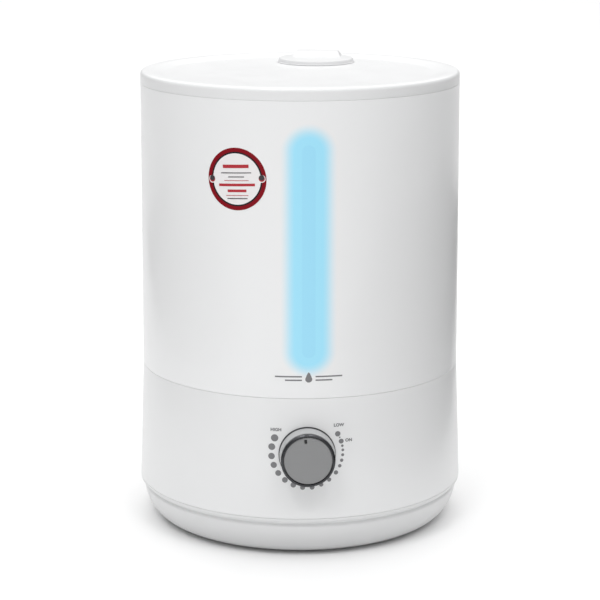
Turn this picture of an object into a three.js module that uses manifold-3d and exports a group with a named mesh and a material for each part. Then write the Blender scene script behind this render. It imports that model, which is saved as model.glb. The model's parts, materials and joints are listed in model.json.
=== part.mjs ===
// Ultrasonic cool mist humidifier: a round top-fill water tank on a round base, with one dial.
// Millimetres, +Z up. The origin is on the floor, on the body's axis, and the dial faces -Y.
import * as THREE from "three";
import { mergeVertices } from "three/addons/utils/BufferGeometryUtils.js";
import Module from "manifold-3d";

// ---------------------------------------------------------------- driving dimensions

// Outer form
const bodyRadius = 109.8; // where the tank stands on the base
const tankDraft = 1.1; // radius lost from the tank's foot to its rim
const baseFlare = 3; // radius gained from the base shell's rim to its foot
const panHeight = 27.5;
const baseHeight = 81;
const tankHeight = 194;
const lidHeight = 8;
const seamGap = 0.4; // the shadow line between two housings
const wall = 2.4;
const floorThickness = 2.6;
const fitGap = 0.3; // between pieces that touch
const slideGap = 0.5; // between pieces that move past each other

// Pan under the base
const bowlInset = 2.5; // the bowl's rim stands in from the base shell's foot
const bowlReach = 15.3; // the bowl's curve, measured inwards
const bowlPower = 1.74; // 2 is an ellipse, less is flatter
const beadHeight = 6; // the band above the bowl
const lipHeight = 3;
const footRadius = 8;
const footProud = 1.5;
const footSunk = 0.7;
const footCircle = 78;

// Water basin
const basinInset = 16.2; // from the body's radius to the basin's inside
const basinDepth = 20;
const basinDrop = 4; // the basin's rim below the base shell's rim
const wellRadius = 19;
const wellDepth = 5;
const transducerRadius = 10;
const transducerThickness = 1.2;

// Mist path
const chimneyBore = 18;
const tubeWall = 2;
const outletBearing = 13; // degrees round from the back, towards +X
const nozzleRadius = 26.1;
const nozzleThickness = 1.9;
const scoopWidth = 32;
const scoopHeight = 4.3; // above the nozzle's disc
const scoopReach = 20; // its mouth stands this far behind the nozzle's axis

// Lid
const lidPlate = 2.4;
const rimWidth = 17.2; // from the lid's edge to its sunk top
const dishDepth = 2;
const dishSlope = 9;
const lidEdge = 2.6;
const skirtDepth = 8;

// Air path
const fanSize = 60;
const fanThickness = 15;
const fanBearing = 90; // degrees round from the back, towards -X
const fanRise = 8; // open space under the fan
const collarBore = 17;
const collarRise = 17; // above the basin's floor

// Dial
const dialDrop = 37.4; // the dial's axis below the base shell's rim
const knobRadius = 18.6;
const knobTaper = 0.9;
const knobLength = 9.8;
const knobGap = 0.11; // between the knob's foot and the leaning wall
const ringDepth = 3.6;
const ringWidth = 1.6;
const offBearing = -7; // degrees clockwise from straight up
const shaftRadius = 3;

// Valve in the tank's floor
const valveDistance = 38; // in front of the axis
const valveBore = 9.4;
const valveTravel = 6;
const stemRadius = 2.4;

// Float switch
const floatRadius = 11;
const floatHeight = 9;
const floatTravel = 8;
const floatPlace = [52, -8];

// Night light
const stripWidth = 8.8;
const stripRise = 21.8; // its foot above the tank's floor
const stripDrop = 27.4; // from the tank's rim to the strip's top
const stripThickness = 4;

// Round sticker on the tank
const stickerRadius = 20;
const stickerThickness = 0.4;
const stickerBearing = 24.4; // degrees round from the front, towards -X
const stickerDrop = 50.8; // its centre below the tank's rim

// Electronics
const boardSize = [64, 46, 1.6];
const boardRise = 10;
const boardBearing = 37; // degrees round from the front, towards +X
const inletHeight = 24; // above the base shell's foot
const inletPocket = [20, 9, 14]; // width, depth, height of the recess round the socket
const screwRadius = 1.4;

// Steps round a circle
const bodySteps = 36;
const tubeSteps = 20;
const smallSteps = 12;

// ---------------------------------------------------------------- levels and places

const zPan = footProud;
const zPanTop = zPan + panHeight;
const zPanFloor = zPan + floorThickness;
const zBase = zPanTop + seamGap;
const zBaseTop = zBase + baseHeight;
const zTank = zBaseTop + seamGap;
const zTankTop = zTank + tankHeight;
const zLid = zTankTop + seamGap;
const zLidTop = zLid + lidHeight;
const zPlateau = zLidTop - dishDepth;

const shellRadius = bodyRadius + baseFlare;
const bowlRadius = shellRadius - bowlInset;
const bowlFoot = bowlRadius - bowlReach;
const tankTopRadius = bodyRadius - tankDraft;
const dishRadius = tankTopRadius - rimWidth;
const basinRadius = bodyRadius - basinInset;

const zBasinRim = zBaseTop - basinDrop;
const zBasinFloor = zBasinRim - basinDepth;
const zBasinUnder = zBasinFloor - floorThickness;
const zWellFloor = zBasinFloor - wellDepth;
const zWellUnder = zWellFloor - floorThickness;
const zTankUnder = zTank + wall + 0.4;
const zTankFloor = zTankUnder + 3;

const spigotOuter = chimneyBore - slideGap;
const spigotInner = spigotOuter - 1.5;
const hubOuter = spigotInner - slideGap;
const hubInner = hubOuter - 1.6;

const degrees = Math.PI / 180;
// A point at a distance from the axis, at a bearing clockwise from the back as seen from above.
const fromBack = (distance, bearing) => [
  distance * Math.sin(bearing * degrees),
  distance * Math.cos(bearing * degrees),
];
const nozzleClearance = 3.3;
const outlet = fromBack(dishRadius - nozzleRadius - nozzleClearance, outletBearing);
const panInside = bowlFoot + 0.6 * bowlReach - wall;
const innerClearance = 1.5;
const caseBossRadius = 5;
const screwHeadRadius = 2.8;
const screwPocketRadius = screwHeadRadius + slideGap;
const caseScrewCircle = bowlFoot - screwPocketRadius - innerClearance; // the pockets stay in the flat
const fanPlace = fromBack(panInside - fanSize / Math.SQRT2 - innerClearance, -fanBearing);
const boardReach = Math.hypot(boardSize[0], boardSize[1]) / 2;
const boardDistance = caseScrewCircle - caseBossRadius - innerClearance - boardReach;
const boardPlace = fromBack(boardDistance, 180 - boardBearing);
const valvePlace = [0, -valveDistance];
const ledPlace = [0, -(bodyRadius - 7)];
const zDial = zBaseTop - dialDrop;

// Radius of the base shell and of the tank's outside at a height.
const shellRadiusAt = (z) => shellRadius - (baseFlare * (z - zBase)) / baseHeight;
const tankRadiusAt = (z) => bodyRadius - (tankDraft * (z - zTank)) / tankHeight;

// ---------------------------------------------------------------- shape helpers

const wasm = await Module();
wasm.setup();

// A closed geometry as a solid that manifold-3d can join and cut.
function solid(geometry) {
  const loose = geometry.index ? geometry.toNonIndexed() : geometry.clone();
  const bare = new THREE.BufferGeometry();
  bare.setAttribute("position", loose.getAttribute("position"));
  const merged = mergeVertices(bare, 1e-3);
  const kept = [];
  for (let i = 0; i < merged.index.count; i += 3) {
    const [a, b, c] = merged.index.array.slice(i, i + 3);
    if (a !== b && b !== c && c !== a) kept.push(a, b, c);
  }
  const make = (corners) =>
    new wasm.Manifold(
      new wasm.Mesh({
        numProp: 3,
        vertProperties: merged.attributes.position.array,
        triVerts: new Uint32Array(corners),
      }),
    );
  const made = make(kept);
  return made.volume() < 0 ? make(kept.toReversed()) : made;
}

// A solid back as a three.js geometry.
function geometryOf(made) {
  const mesh = made.getMesh();
  const places = new Float32Array(mesh.numVert * 3);
  for (let i = 0; i < mesh.numVert; i++)
    places.set(mesh.vertProperties.subarray(i * mesh.numProp, i * mesh.numProp + 3), i * 3);
  const geometry = new THREE.BufferGeometry();
  geometry.setAttribute("position", new THREE.BufferAttribute(places, 3));
  geometry.setIndex(new THREE.BufferAttribute(mesh.triVerts.slice(), 1));
  return geometry;
}

const join = (first, ...others) =>
  geometryOf(others.reduce((all, other) => all.add(solid(other)), solid(first)));
const cut = (body, ...tools) =>
  geometryOf(tools.reduce((left, tool) => left.subtract(solid(tool)), solid(body)));
const common = (a, b) => geometryOf(solid(a).intersect(solid(b)));

// A shape turned about Z from [radius, height] points: a closed ring, or a disc that starts and ends
// on the axis.
function turned(points, steps = bodySteps) {
  const profile = points.map(([radius, z]) => new THREE.Vector2(radius, z));
  if (points[0][0] > 0) profile.push(profile[0].clone());
  return geometryOf(solid(new THREE.LatheGeometry(profile, steps).rotateX(Math.PI / 2)));
}

const rod = (radius, low, high, steps = smallSteps) =>
  turned([[0, low], [radius, low], [radius, high], [0, high]], steps);
const tube = (inner, outer, low, high, steps = tubeSteps) =>
  turned([[inner, low], [outer, low], [outer, high], [inner, high]], steps);
// A box centred on X and Y that stands on a height.
const block = (x, y, low, high) =>
  new THREE.BoxGeometry(x, y, high - low).translate(0, 0, (low + high) / 2);
const at = (geometry, [x, y]) => geometry.translate(x, y, 0);
// Bearing 0 is the front.
const turnedTo = (geometry, bearing) => geometry.rotateZ(-bearing * degrees);

// ---------------------------------------------------------------- materials

const finish = (color, roughness, metalness = 0, more = {}) =>
  new THREE.MeshStandardMaterial({ color, roughness, metalness, ...more });
const whiteGloss = finish(0xf2f3f4, 0.3);
const tankWhite = finish(0xeceeef, 0.32);
const clearAcrylic = finish(0xbfe6f5, 0.1, 0, { transparent: true, opacity: 0.5 });
const silicone = finish(0xdfe2e3, 0.6);
const rubber = finish(0x3b3d40, 0.8);
const knobSilver = finish(0xb9bbbd, 0.35, 0.4);
const faceGrey = finish(0x8b8c8e, 0.45, 0.3);
const darkChrome = finish(0x2a2b2d, 0.12, 0.9);
const blackPlastic = finish(0x1c1d1f, 0.5);
const greyPlastic = finish(0x6d7175, 0.5);
const steel = finish(0xa9adb0, 0.3, 0.9);
const brass = finish(0xb08d4b, 0.3, 0.9);
const aluminium = finish(0xc3c6c8, 0.35, 0.9);
const boardGreen = finish(0x1f6b43, 0.5);
const ferrite = finish(0x35373a, 0.6);
const ceramic = finish(0xd9cfa8, 0.3);
const stickerPaper = finish(0xf4f2ef, 0.4);

const humidifier = new THREE.Group();

function addPiece(name, geometry, material, parent = humidifier) {
  const mesh = new THREE.Mesh(geometry, material);
  mesh.name = name;
  parent.add(mesh);
  return mesh;
}

// ---------------------------------------------------------------- screws

const screwHeadHeight = 1.8;
// A pan-head screw that points up from the seat under its head.
const screw = (seat, length) =>
  turned(
    [
      [0, seat - screwHeadHeight],
      [screwHeadRadius, seat - screwHeadHeight],
      [screwHeadRadius, seat],
      [screwRadius, seat],
      [screwRadius, seat + length],
      [0, seat + length],
    ],
    smallSteps,
  );
const pilot = (low, high) => rod(screwRadius + fitGap, low, high);

// ---------------------------------------------------------------- pan, feet and case screws

const caseScrewBearings = [45, 135, 225, 315];
const zCaseBoss = zPanFloor + 9;
const caseScrewSink = 4;
const caseScrewSeat = zPan + caseScrewSink + screwHeadHeight;
const caseScrewLength = 16;
const fanScrewSpacing = fanSize - 10;
const zFan = zPanFloor + fanRise;
const zBoard = zPanFloor + boardRise;
const fanScrewPlaces = [-1, 1].map((side) => [
  fanPlace[0] + (side * fanScrewSpacing) / 2,
  fanPlace[1] + (side * fanScrewSpacing) / 2,
]);
const boardHoleInset = 4;
const boardScrewPlaces = [-1, 1].map((side) => [
  boardPlace[0] + side * (boardSize[0] / 2 - boardHoleInset),
  boardPlace[1] + side * (boardSize[1] / 2 - boardHoleInset),
]);

// The bowl's curve from its flat floor up to its rim.
function bowlCurve(foot, reach, low, high, steps) {
  const points = [];
  for (let i = 0; i <= steps; i++) {
    const turn = ((Math.PI / 2) * i) / steps;
    points.push([
      foot + reach * Math.sin(turn) ** (2 / bowlPower),
      high - (high - low) * Math.cos(turn) ** (2 / bowlPower),
    ]);
  }
  return points;
}

function makePan() {
  const zBowlTop = zPanTop - beadHeight;
  const lipOuter = shellRadius - wall - fitGap;
  const lipInner = lipOuter - 2;
  const outside = bowlCurve(bowlFoot, bowlReach, zPan, zBowlTop, 5);
  const inside = bowlCurve(bowlFoot, lipInner - bowlFoot, zPanFloor, zBowlTop, 3).toReversed();
  let pan = turned([
    [0, zPan],
    ...outside,
    [bowlRadius, zBowlTop + 1.4],
    [shellRadius - 0.3, zBowlTop + 3.4],
    [shellRadius, zPanTop],
    [lipOuter, zPanTop],
    [lipOuter, zPanTop + lipHeight],
    [lipInner, zPanTop + lipHeight],
    ...inside,
    [0, zPanFloor],
  ]);
  const bosses = [];
  const holes = [];
  for (const bearing of caseScrewBearings) {
    const place = fromBack(caseScrewCircle, bearing);
    bosses.push(at(rod(caseBossRadius, zPanFloor - 1, zCaseBoss), place));
    holes.push(at(rod(screwPocketRadius, zPan - 1, caseScrewSeat + fitGap), place));
    holes.push(at(rod(screwRadius + slideGap, zPan, zCaseBoss + 1), place));
    const foot = fromBack(footCircle, bearing);
    holes.push(at(rod(footRadius + fitGap, zPan - 1, zPan + footSunk + fitGap, 20), foot));
  }
  for (const place of fanScrewPlaces) {
    bosses.push(at(rod(3.6, zPanFloor - 1, zFan - fitGap), place));
    holes.push(at(pilot(zPanFloor + 1, zFan), place));
  }
  for (const place of boardScrewPlaces) {
    bosses.push(at(rod(3.2, zPanFloor - 1, zBoard - fitGap), place));
    holes.push(at(pilot(zPanFloor + 1, zBoard), place));
  }
  const slotWidth = 3;
  const slotPitch = 7;
  const grilleRadius = fanSize / 2 - 5;
  for (let row = -3; row <= 3; row++) {
    const y = row * slotPitch;
    const length = 2 * Math.sqrt(grilleRadius ** 2 - y ** 2);
    if (length > slotWidth)
      holes.push(at(block(length, slotWidth, zPan - 1, zPanFloor + 1), [fanPlace[0], fanPlace[1] + y]));
  }
  return cut(join(pan, ...bosses), ...holes);
}
addPiece("base_pan", makePan(), whiteGloss);

caseScrewBearings.forEach((bearing, i) => {
  const foot = fromBack(footCircle, bearing);
  addPiece(`foot_${i + 1}`, at(rod(footRadius, 0, zPan + footSunk, 20), foot), rubber);
  const place = fromBack(caseScrewCircle, bearing);
  addPiece(`case_screw_${i + 1}`, at(screw(caseScrewSeat, caseScrewLength), place), steel);
});

// ---------------------------------------------------------------- base shell

const ledgeDepth = 2.4;
const zFlange = zBasinRim - wall;
const zLedge = zFlange - fitGap;
const zInlet = zBase + inletHeight;
const inletFace = shellRadiusAt(zInlet) - inletPocket[1]; // the Y of the recess's back
const dialFace = shellRadiusAt(zDial); // distance of the wall from the axis at the dial
const bushRadius = 3.9;
const inletBarrel = 5.4;

function makeBaseShell() {
  const postFoot = zCaseBoss + fitGap;
  const postTop = zBase + baseHeight / 2;
  const outer = [
    [shellRadius - 0.9, zBase],
    [shellRadius, zBase + 1],
    [bodyRadius, zBaseTop - 0.7],
    [bodyRadius - 0.7, zBaseTop],
  ];
  const inner = shellRadius - wall;
  const innerTop = bodyRadius - wall;
  const ring = turned([
    ...outer,
    [innerTop, zBaseTop],
    [innerTop, zLedge],
    [innerTop - 4, zLedge],
    [innerTop - 4, zLedge - ledgeDepth],
    [innerTop, zLedge - ledgeDepth - 3],
    [inner, zBase],
  ]);
  const envelope = turned([[0, zBase], ...outer, [0, zBaseTop]]);
  const added = [];
  const holes = [];
  for (const bearing of caseScrewBearings) {
    const place = fromBack(caseScrewCircle, bearing);
    const ribReach = shellRadius - caseScrewCircle;
    const ribMiddle = caseScrewCircle + ribReach / 2;
    const rib = turnedTo(
      block(3, ribReach, zPanTop + lipHeight + 1, postTop).translate(0, -ribMiddle, 0),
      bearing + 180,
    );
    added.push(at(rod(4.5, postFoot, postTop), place), common(rib, envelope));
    holes.push(at(pilot(postFoot - 1, postFoot + caseScrewLength), place));
  }
  const [width, depth, height] = inletPocket;
  const thick = 2;
  const low = zInlet - height / 2;
  const pocket = block(width + 2 * thick, depth + thick, low - thick, low + height + thick);
  pocket.translate(0, inletFace - thick + (depth + thick) / 2, 0);
  added.push(common(pocket, envelope));
  const recess = block(width, depth + 4, low, low + height);
  holes.push(recess.translate(0, inletFace + (depth + 4) / 2, 0));
  const along = (geometry) => geometry.rotateX(Math.PI / 2);
  holes.push(along(rod(inletBarrel + fitGap, -8, 8, 16)).translate(0, inletFace, zInlet));
  holes.push(along(rod(bushRadius + fitGap, -8, 8, 16)).translate(0, -dialFace, zDial));
  holes.push(at(block(22, 9, zLedge - 12, zLedge + 1), ledPlace));
  return cut(join(ring, ...added), ...holes);
}

addPiece("base_shell", makeBaseShell(), whiteGloss);

// ---------------------------------------------------------------- power inlet

// Built along +Z, then turned so that its mouth faces the back.
function facingBack(geometry) {
  return geometry.rotateX(-Math.PI / 2).translate(0, inletFace, zInlet);
}
const inletBore = 3.2;
const inletDepth = 11;
const inletWallSeat = -2 - fitGap; // the inside face of the recess's back
const inletBody = join(
  tube(inletBore, inletBarrel, -inletDepth, 1, 16),
  rod(inletBarrel, -inletDepth - 2, -inletDepth + 0.01, 16),
  tube(inletBarrel - 0.5, 8, inletWallSeat - 3, inletWallSeat, 16),
);
addPiece("power_inlet", facingBack(inletBody), blackPlastic);
const inletPin = rod(1, -inletDepth + fitGap, -1, 8);
addPiece("power_inlet_pin", facingBack(inletPin), brass);

// ---------------------------------------------------------------- water basin

const collarOuter = collarBore + tubeWall;
const zCollarTop = zBasinFloor + collarRise;
const zTransducerBoss = zWellUnder - 5;
const bossRadius = 19.5;
const sealRadius = transducerRadius + 3;
const transducerHole = transducerRadius - 1.5;
const ledRadius = 3;
const clampScrewCircle = 16.2;
const clampScrewPlaces = [30, 150, 270].map((bearing) => {
  const [x, y] = fromBack(clampScrewCircle, bearing);
  return [outlet[0] + x, outlet[1] + y];
});
const floatPostRadius = 2.8;
const zFloat = zBasinFloor + slideGap;
const zFloatPostTop = zFloat + floatHeight + floatTravel;
const zPushPost = zBasinFloor + 10.5;

function makeBasin() {
  const flangeRadius = bodyRadius - wall - slideGap;
  const dish = turned([
    [0, zBasinUnder],
    [basinRadius + wall, zBasinUnder],
    [basinRadius + wall, zFlange],
    [flangeRadius, zFlange],
    [flangeRadius, zBasinRim],
    [basinRadius, zBasinRim],
    [basinRadius, zBasinFloor],
    [0, zBasinFloor],
  ]);
  const added = [
    at(rod(3, zBasinFloor - 1, zPushPost), valvePlace),
    at(rod(floatPostRadius, zBasinFloor - 1, zFloatPostTop), floatPlace),
  ];
  const holes = [
    at(rod(wellRadius, zBasinUnder - 1, zBasinFloor + 1, tubeSteps), outlet),
    at(rod(collarOuter + fitGap, zBasinUnder - 1, zBasinFloor + 1, tubeSteps), fanPlace),
    at(rod(ledRadius + fitGap, zFlange - 1, zBasinRim + 1), ledPlace),
  ];
  return cut(join(dish, ...added), ...holes);
}
addPiece("water_basin", makeBasin(), whiteGloss);

// The collar brings the fan's air up through the basin's floor, above the water.
const collarFlange = collarOuter + 4;
const airCollar = turned(
  [
    [collarBore, zBasinUnder],
    [collarOuter, zBasinUnder],
    [collarOuter, zBasinFloor + fitGap],
    [collarFlange, zBasinFloor + fitGap],
    [collarFlange, zBasinFloor + 2],
    [collarOuter, zBasinFloor + 2],
    [collarOuter, zCollarTop],
    [collarBore, zCollarTop],
  ],
  tubeSteps,
);
addPiece("air_collar", at(airCollar, fanPlace), whiteGloss);

// The well hangs under the basin's floor and holds the transducer in its boss.
function makeWellCup() {
  const rim = zBasinUnder - fitGap;
  const cup = turned(
    [
      [transducerHole, zWellFloor],
      [transducerHole, zWellUnder],
      [sealRadius + fitGap, zWellUnder],
      [sealRadius + fitGap, zTransducerBoss],
      [bossRadius, zTransducerBoss],
      [bossRadius, zWellUnder],
      [wellRadius + wall, zWellUnder],
      [wellRadius + wall, rim - 1.8],
      [wellRadius + wall + 3, rim - 1.8],
      [wellRadius + wall + 3, rim],
      [wellRadius, rim],
      [wellRadius, zWellFloor],
    ],
    tubeSteps,
  );
  const holes = clampScrewPlaces.map(([x, y]) =>
    at(pilot(zTransducerBoss - 1, zWellUnder), [x - outlet[0], y - outlet[1]]),
  );
  return cut(cup, ...holes);
}
addPiece("well_cup", at(makeWellCup(), outlet), whiteGloss);

// ---------------------------------------------------------------- transducer

const sealHeight = 3.8;
const zSeal = zWellUnder - fitGap - sealHeight;
const zDisc = zSeal + 1.3;
const discGap = 0.3;
const transducerSeal = turned(
  [
    [transducerHole, zSeal],
    [sealRadius, zSeal],
    [sealRadius, zSeal + sealHeight],
    [transducerHole, zSeal + sealHeight],
    [transducerHole, zDisc + transducerThickness + discGap],
    [transducerRadius + discGap, zDisc + transducerThickness + discGap],
    [transducerRadius + discGap, zDisc - discGap],
    [transducerHole, zDisc - discGap],
  ],
  tubeSteps,
);
addPiece("transducer_seal", at(transducerSeal, outlet), silicone);
const discShape = rod(transducerRadius, zDisc, zDisc + transducerThickness, tubeSteps);
addPiece("transducer_disc", at(discShape, outlet), ceramic);

const clampTop = zTransducerBoss - fitGap;
const clampThickness = 1.6;
let clampPlate = at(
  tube(transducerHole, bossRadius, clampTop - clampThickness, clampTop),
  outlet,
);
clampPlate = cut(
  clampPlate,
  ...clampScrewPlaces.map((place) => at(pilot(clampTop - 3, clampTop + 1), place)),
);
addPiece("transducer_clamp", clampPlate, aluminium);
clampScrewPlaces.forEach((place, i) => {
  const seat = clampTop - clampThickness - fitGap;
  addPiece(`clamp_screw_${i + 1}`, at(screw(seat, 6), place), steel);
});

// ---------------------------------------------------------------- float switch

const floatShape = tube(floatPostRadius + slideGap, floatRadius, zFloat, zFloat + floatHeight);
addPiece("level_float", at(floatShape, floatPlace), greyPlastic);
const floatCap = rod(5.2, zFloatPostTop + fitGap, zFloatPostTop + fitGap + 1.8, 16);
addPiece("float_clip", at(floatCap, floatPlace), greyPlastic);
const reedBoard = block(20, 11, zBasinUnder - fitGap - 3.2, zBasinUnder - fitGap);
addPiece("reed_switch", at(reedBoard, floatPlace), boardGreen);

// ---------------------------------------------------------------- night light in the base

const lens = turned(
  [
    [0, zFlange - 1.5],
    [ledRadius, zFlange - 1.5],
    [ledRadius, zBasinRim],
    [ledRadius - 1, zBasinRim + 1],
    [0, zBasinRim + 1.4],
  ],
  smallSteps,
);
addPiece("light_lens", at(lens, ledPlace), clearAcrylic);
const zLamp = zFlange - 1.5 - fitGap;
const lampHeight = 5;
const lamp = turned(
  [
    [0, zLamp - lampHeight],
    [2.5, zLamp - lampHeight],
    [2.5, zLamp - 2],
    [1.6, zLamp - 0.5],
    [0, zLamp],
  ],
  smallSteps,
);
addPiece("light_lamp", at(lamp, ledPlace), clearAcrylic);
const zLampBoard = zLamp - lampHeight - fitGap;
addPiece("light_board", at(block(18, 7, zLampBoard - 1.6, zLampBoard), ledPlace), boardGreen);

// ---------------------------------------------------------------- fan and air duct

function makeFanFrame() {
  const high = zFan + fanThickness;
  const bore = fanSize / 2 - 1.5;
  const frame = cut(
    block(fanSize, fanSize, zFan, high),
    rod(bore, zFan - 1, high + 1, tubeSteps),
    ...[-1, 1].flatMap((sx) =>
      [-1, 1].map((sy) =>
        at(rod(2.1, zFan - 1, high + 1, 8), [
          (sx * fanScrewSpacing) / 2,
          (sy * fanScrewSpacing) / 2,
        ]),
      ),
    ),
  );
  const struts = [0, 60, 120].map((turn) =>
    block(fanSize - 2, 3, zFan, zFan + 2).rotateZ(turn * degrees),
  );
  return join(frame, rod(hubRadius, zFan, zFan + 3, tubeSteps), ...struts);
}

const hubRadius = fanSize / 4.6;
function makeFanRotor() {
  const low = zFan + 3 + slideGap;
  const high = zFan + fanThickness - 1;
  const blades = [];
  const bladeCount = 7;
  const tip = fanSize / 2 - 1.5 - 1;
  for (let i = 0; i < bladeCount; i++) {
    const blade = new THREE.BoxGeometry(tip - hubRadius + 2, 1.2, 11.5)
      .rotateX(42 * degrees)
      .translate((tip + hubRadius - 2) / 2, 0, (low + high) / 2)
      .rotateZ((360 / bladeCount) * i * degrees);
    blades.push(blade);
  }
  return join(rod(hubRadius, low, high, tubeSteps), ...blades);
}
addPiece("fan_frame", at(makeFanFrame(), fanPlace), blackPlastic);
addPiece("fan_rotor", at(makeFanRotor(), fanPlace), blackPlastic);
fanScrewPlaces.forEach((place, i) => {
  const length = fanThickness + fanRise - 2;
  const seat = zFan + fanThickness + fitGap;
  const down = screw(0, length).rotateX(Math.PI).translate(0, 0, seat);
  addPiece(`fan_screw_${i + 1}`, at(down, place), steel);
});

// The duct takes the fan's air straight up to the collar in the basin.
function makeDuct() {
  const low = zFan + fanThickness + fitGap;
  const high = zBasinUnder - fitGap;
  const throat = fanSize / 2 - 3;
  const funnel = 16;
  return turned(
    [
      [throat, low],
      [throat + wall, low],
      [throat + wall, low + 2],
      [collarOuter, low + funnel],
      [collarOuter, high],
      [collarBore, high],
      [collarBore, low + funnel],
      [throat, low + 2],
    ],
    tubeSteps,
  );
}
addPiece("air_duct", at(makeDuct(), fanPlace), greyPlastic);

// ---------------------------------------------------------------- driver board

const zBoardTop = zBoard + boardSize[2];
const board = cut(
  at(block(boardSize[0], boardSize[1], zBoard, zBoardTop), boardPlace),
  ...boardScrewPlaces.map((place) => at(pilot(zBoard - 1, zBoardTop + 1), place)),
);
addPiece("driver_board", board, boardGreen);
boardScrewPlaces.forEach((place, i) => {
  const down = screw(0, 8).rotateX(Math.PI).translate(0, 0, zBoardTop + fitGap);
  addPiece(`board_screw_${i + 1}`, at(down, place), steel);
});
const onBoard = (x, y) => [boardPlace[0] + x, boardPlace[1] + y];
const zPart = zBoardTop + fitGap;
const finPitch = 4;
const sink = join(
  block(22, 2.4, zPart, zPart + 24),
  ...[-2, -1, 0, 1, 2].map((i) =>
    block(1.2, 9, zPart, zPart + 24).translate(i * finPitch, 5, 0),
  ),
);
addPiece("heat_sink", at(sink, onBoard(-14, 8)), aluminium);
addPiece("capacitor", at(rod(5, zPart, zPart + 16, 16), onBoard(20, 2)), blackPlastic);
addPiece("inductor", at(tube(4, 9, zPart, zPart + 7, 16), onBoard(4, -10)), ferrite);

// ---------------------------------------------------------------- dial

// Built along +Z and turned so that +Z points out of the front; its own X stays the part's X.
const dial = new THREE.Group();
dial.rotation.x = Math.PI / 2;
dial.position.set(0, -dialFace, zDial);
humidifier.add(dial);

const potNear = -wall - slideGap - 0.6;
const potDepth = 10;
const pot = cut(
  join(
    rod(8.4, potNear - potDepth, potNear, tubeSteps),
    rod(bushRadius, potNear - 1, 5, 16),
    block(11, 2, potNear - 3.5, potNear - 2).translate(0, -9, 0),
  ),
  rod(shaftRadius + fitGap, potNear - potDepth + 2, 6, 16),
);
addPiece("dimmer_switch", pot, greyPlastic, dial);
const nut = cut(rod(6.3, fitGap, 2.5, 6), rod(bushRadius + fitGap, 0, 3, 16));
addPiece("switch_nut", nut, steel, dial);

const knobStandOff = knobGap + (knobRadius * baseFlare) / baseHeight;
const knobFront = knobStandOff + knobLength;
const knobNose = knobRadius - knobTaper;
const shaftEnd = knobFront - 2.6;
const shaft = rod(shaftRadius, potNear - potDepth + 2 + fitGap, shaftEnd, 16);
addPiece("dial_shaft", shaft, aluminium, dial);

const knobWall = 2;
const knobShell = turned(
  [
    [0, knobFront - knobWall],
    [knobNose - knobWall, knobFront - knobWall],
    [knobRadius - knobWall, knobStandOff],
    [knobRadius, knobStandOff],
    [knobNose, knobFront],
    [0, knobFront],
  ],
  36,
);
const knobSocket = tube(shaftRadius + fitGap, shaftRadius + 2, 5.5, knobFront - knobWall + 0.1, 16);
addPiece("dial_knob", join(knobShell, knobSocket), knobSilver, dial);

const ringLow = knobFront + fitGap;
const ringOuter = knobNose + 0.1;
const ringInner = ringOuter - ringWidth;
const dialRing = turned(
  [
    [ringInner, ringLow],
    [ringOuter, ringLow],
    [ringOuter, ringLow + ringDepth - 1.1],
    [ringOuter - 1.1, ringLow + ringDepth],
    [ringInner, ringLow + ringDepth],
  ],
  36,
);
addPiece("dial_ring", dialRing, darkChrome, dial);
const faceTop = ringLow + ringDepth - 0.7;
const tick = block(1.9, 2.9, faceTop - 0.5, faceTop + 1)
  .translate(0, ringInner - 2.7, 0)
  .rotateZ(-offBearing * degrees);
const dialFacePlate = cut(rod(ringInner - fitGap, ringLow, faceTop, 36), tick);
addPiece("dial_face", dialFacePlate, faceGrey, dial);

// ---------------------------------------------------------------- tank

const registerOuter = basinRadius - slideGap - 0.3;
const zRegister = zBasinFloor + 3.2;
const chimneyOuter = chimneyBore + tubeWall;
const sealGroove = chimneyOuter + 2.4;
const capTubeOuter = valveBore + tubeWall;

function makeTank() {
  const foot = bodyRadius - wall;
  const rim = tankTopRadius - wall;
  const vessel = turned([
    [0, zTankUnder],
    [registerOuter - wall, zTankUnder],
    [registerOuter - wall, zRegister],
    [registerOuter, zRegister],
    [registerOuter, zTankUnder],
    [foot, zTankUnder],
    [foot, zTank],
    [bodyRadius - 0.4, zTank],
    [bodyRadius, zTank + 0.4],
    [tankTopRadius, zTankTop],
    [rim, zTankTop],
    [foot, zTankFloor],
    [0, zTankFloor],
  ]);
  return cut(
    vessel,
    at(rod(sealGroove, zTankUnder - 1, zTankFloor + 1, tubeSteps), outlet),
    at(rod(capTubeOuter + fitGap, zTankUnder - 1, zTankFloor + 1, tubeSteps), valvePlace),
  );
}
addPiece("water_tank", makeTank(), tankWhite);

const zChimney = zBasinFloor + 4.6;
const zChimneyTop = zTankTop - 7;
const chimneyFlange = tube(chimneyBore, sealGroove + 4, zTankFloor + fitGap, zTankFloor + 2.6);
const chimneyTube = tube(chimneyBore, chimneyOuter, zChimney, zChimneyTop);
// Air from under the tank comes in through this window, on the side nearest the fan.
const windowLow = zCollarTop - 3;
const airWindow = block(16, 2 * chimneyOuter, windowLow, zTankUnder - 1)
  .translate(0, -chimneyOuter, 0)
  .rotateZ(Math.atan2(fanPlace[1] - outlet[1], fanPlace[0] - outlet[0]) + Math.PI / 2);
addPiece("mist_chimney", at(cut(join(chimneyTube, chimneyFlange), airWindow), outlet), tankWhite);
const chimneySeal = tube(
  chimneyOuter + fitGap,
  sealGroove - fitGap,
  zTankUnder + fitGap,
  zTankFloor - fitGap,
);
addPiece("chimney_seal", at(chimneySeal, outlet), silicone);

// ---------------------------------------------------------------- tank valve

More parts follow.
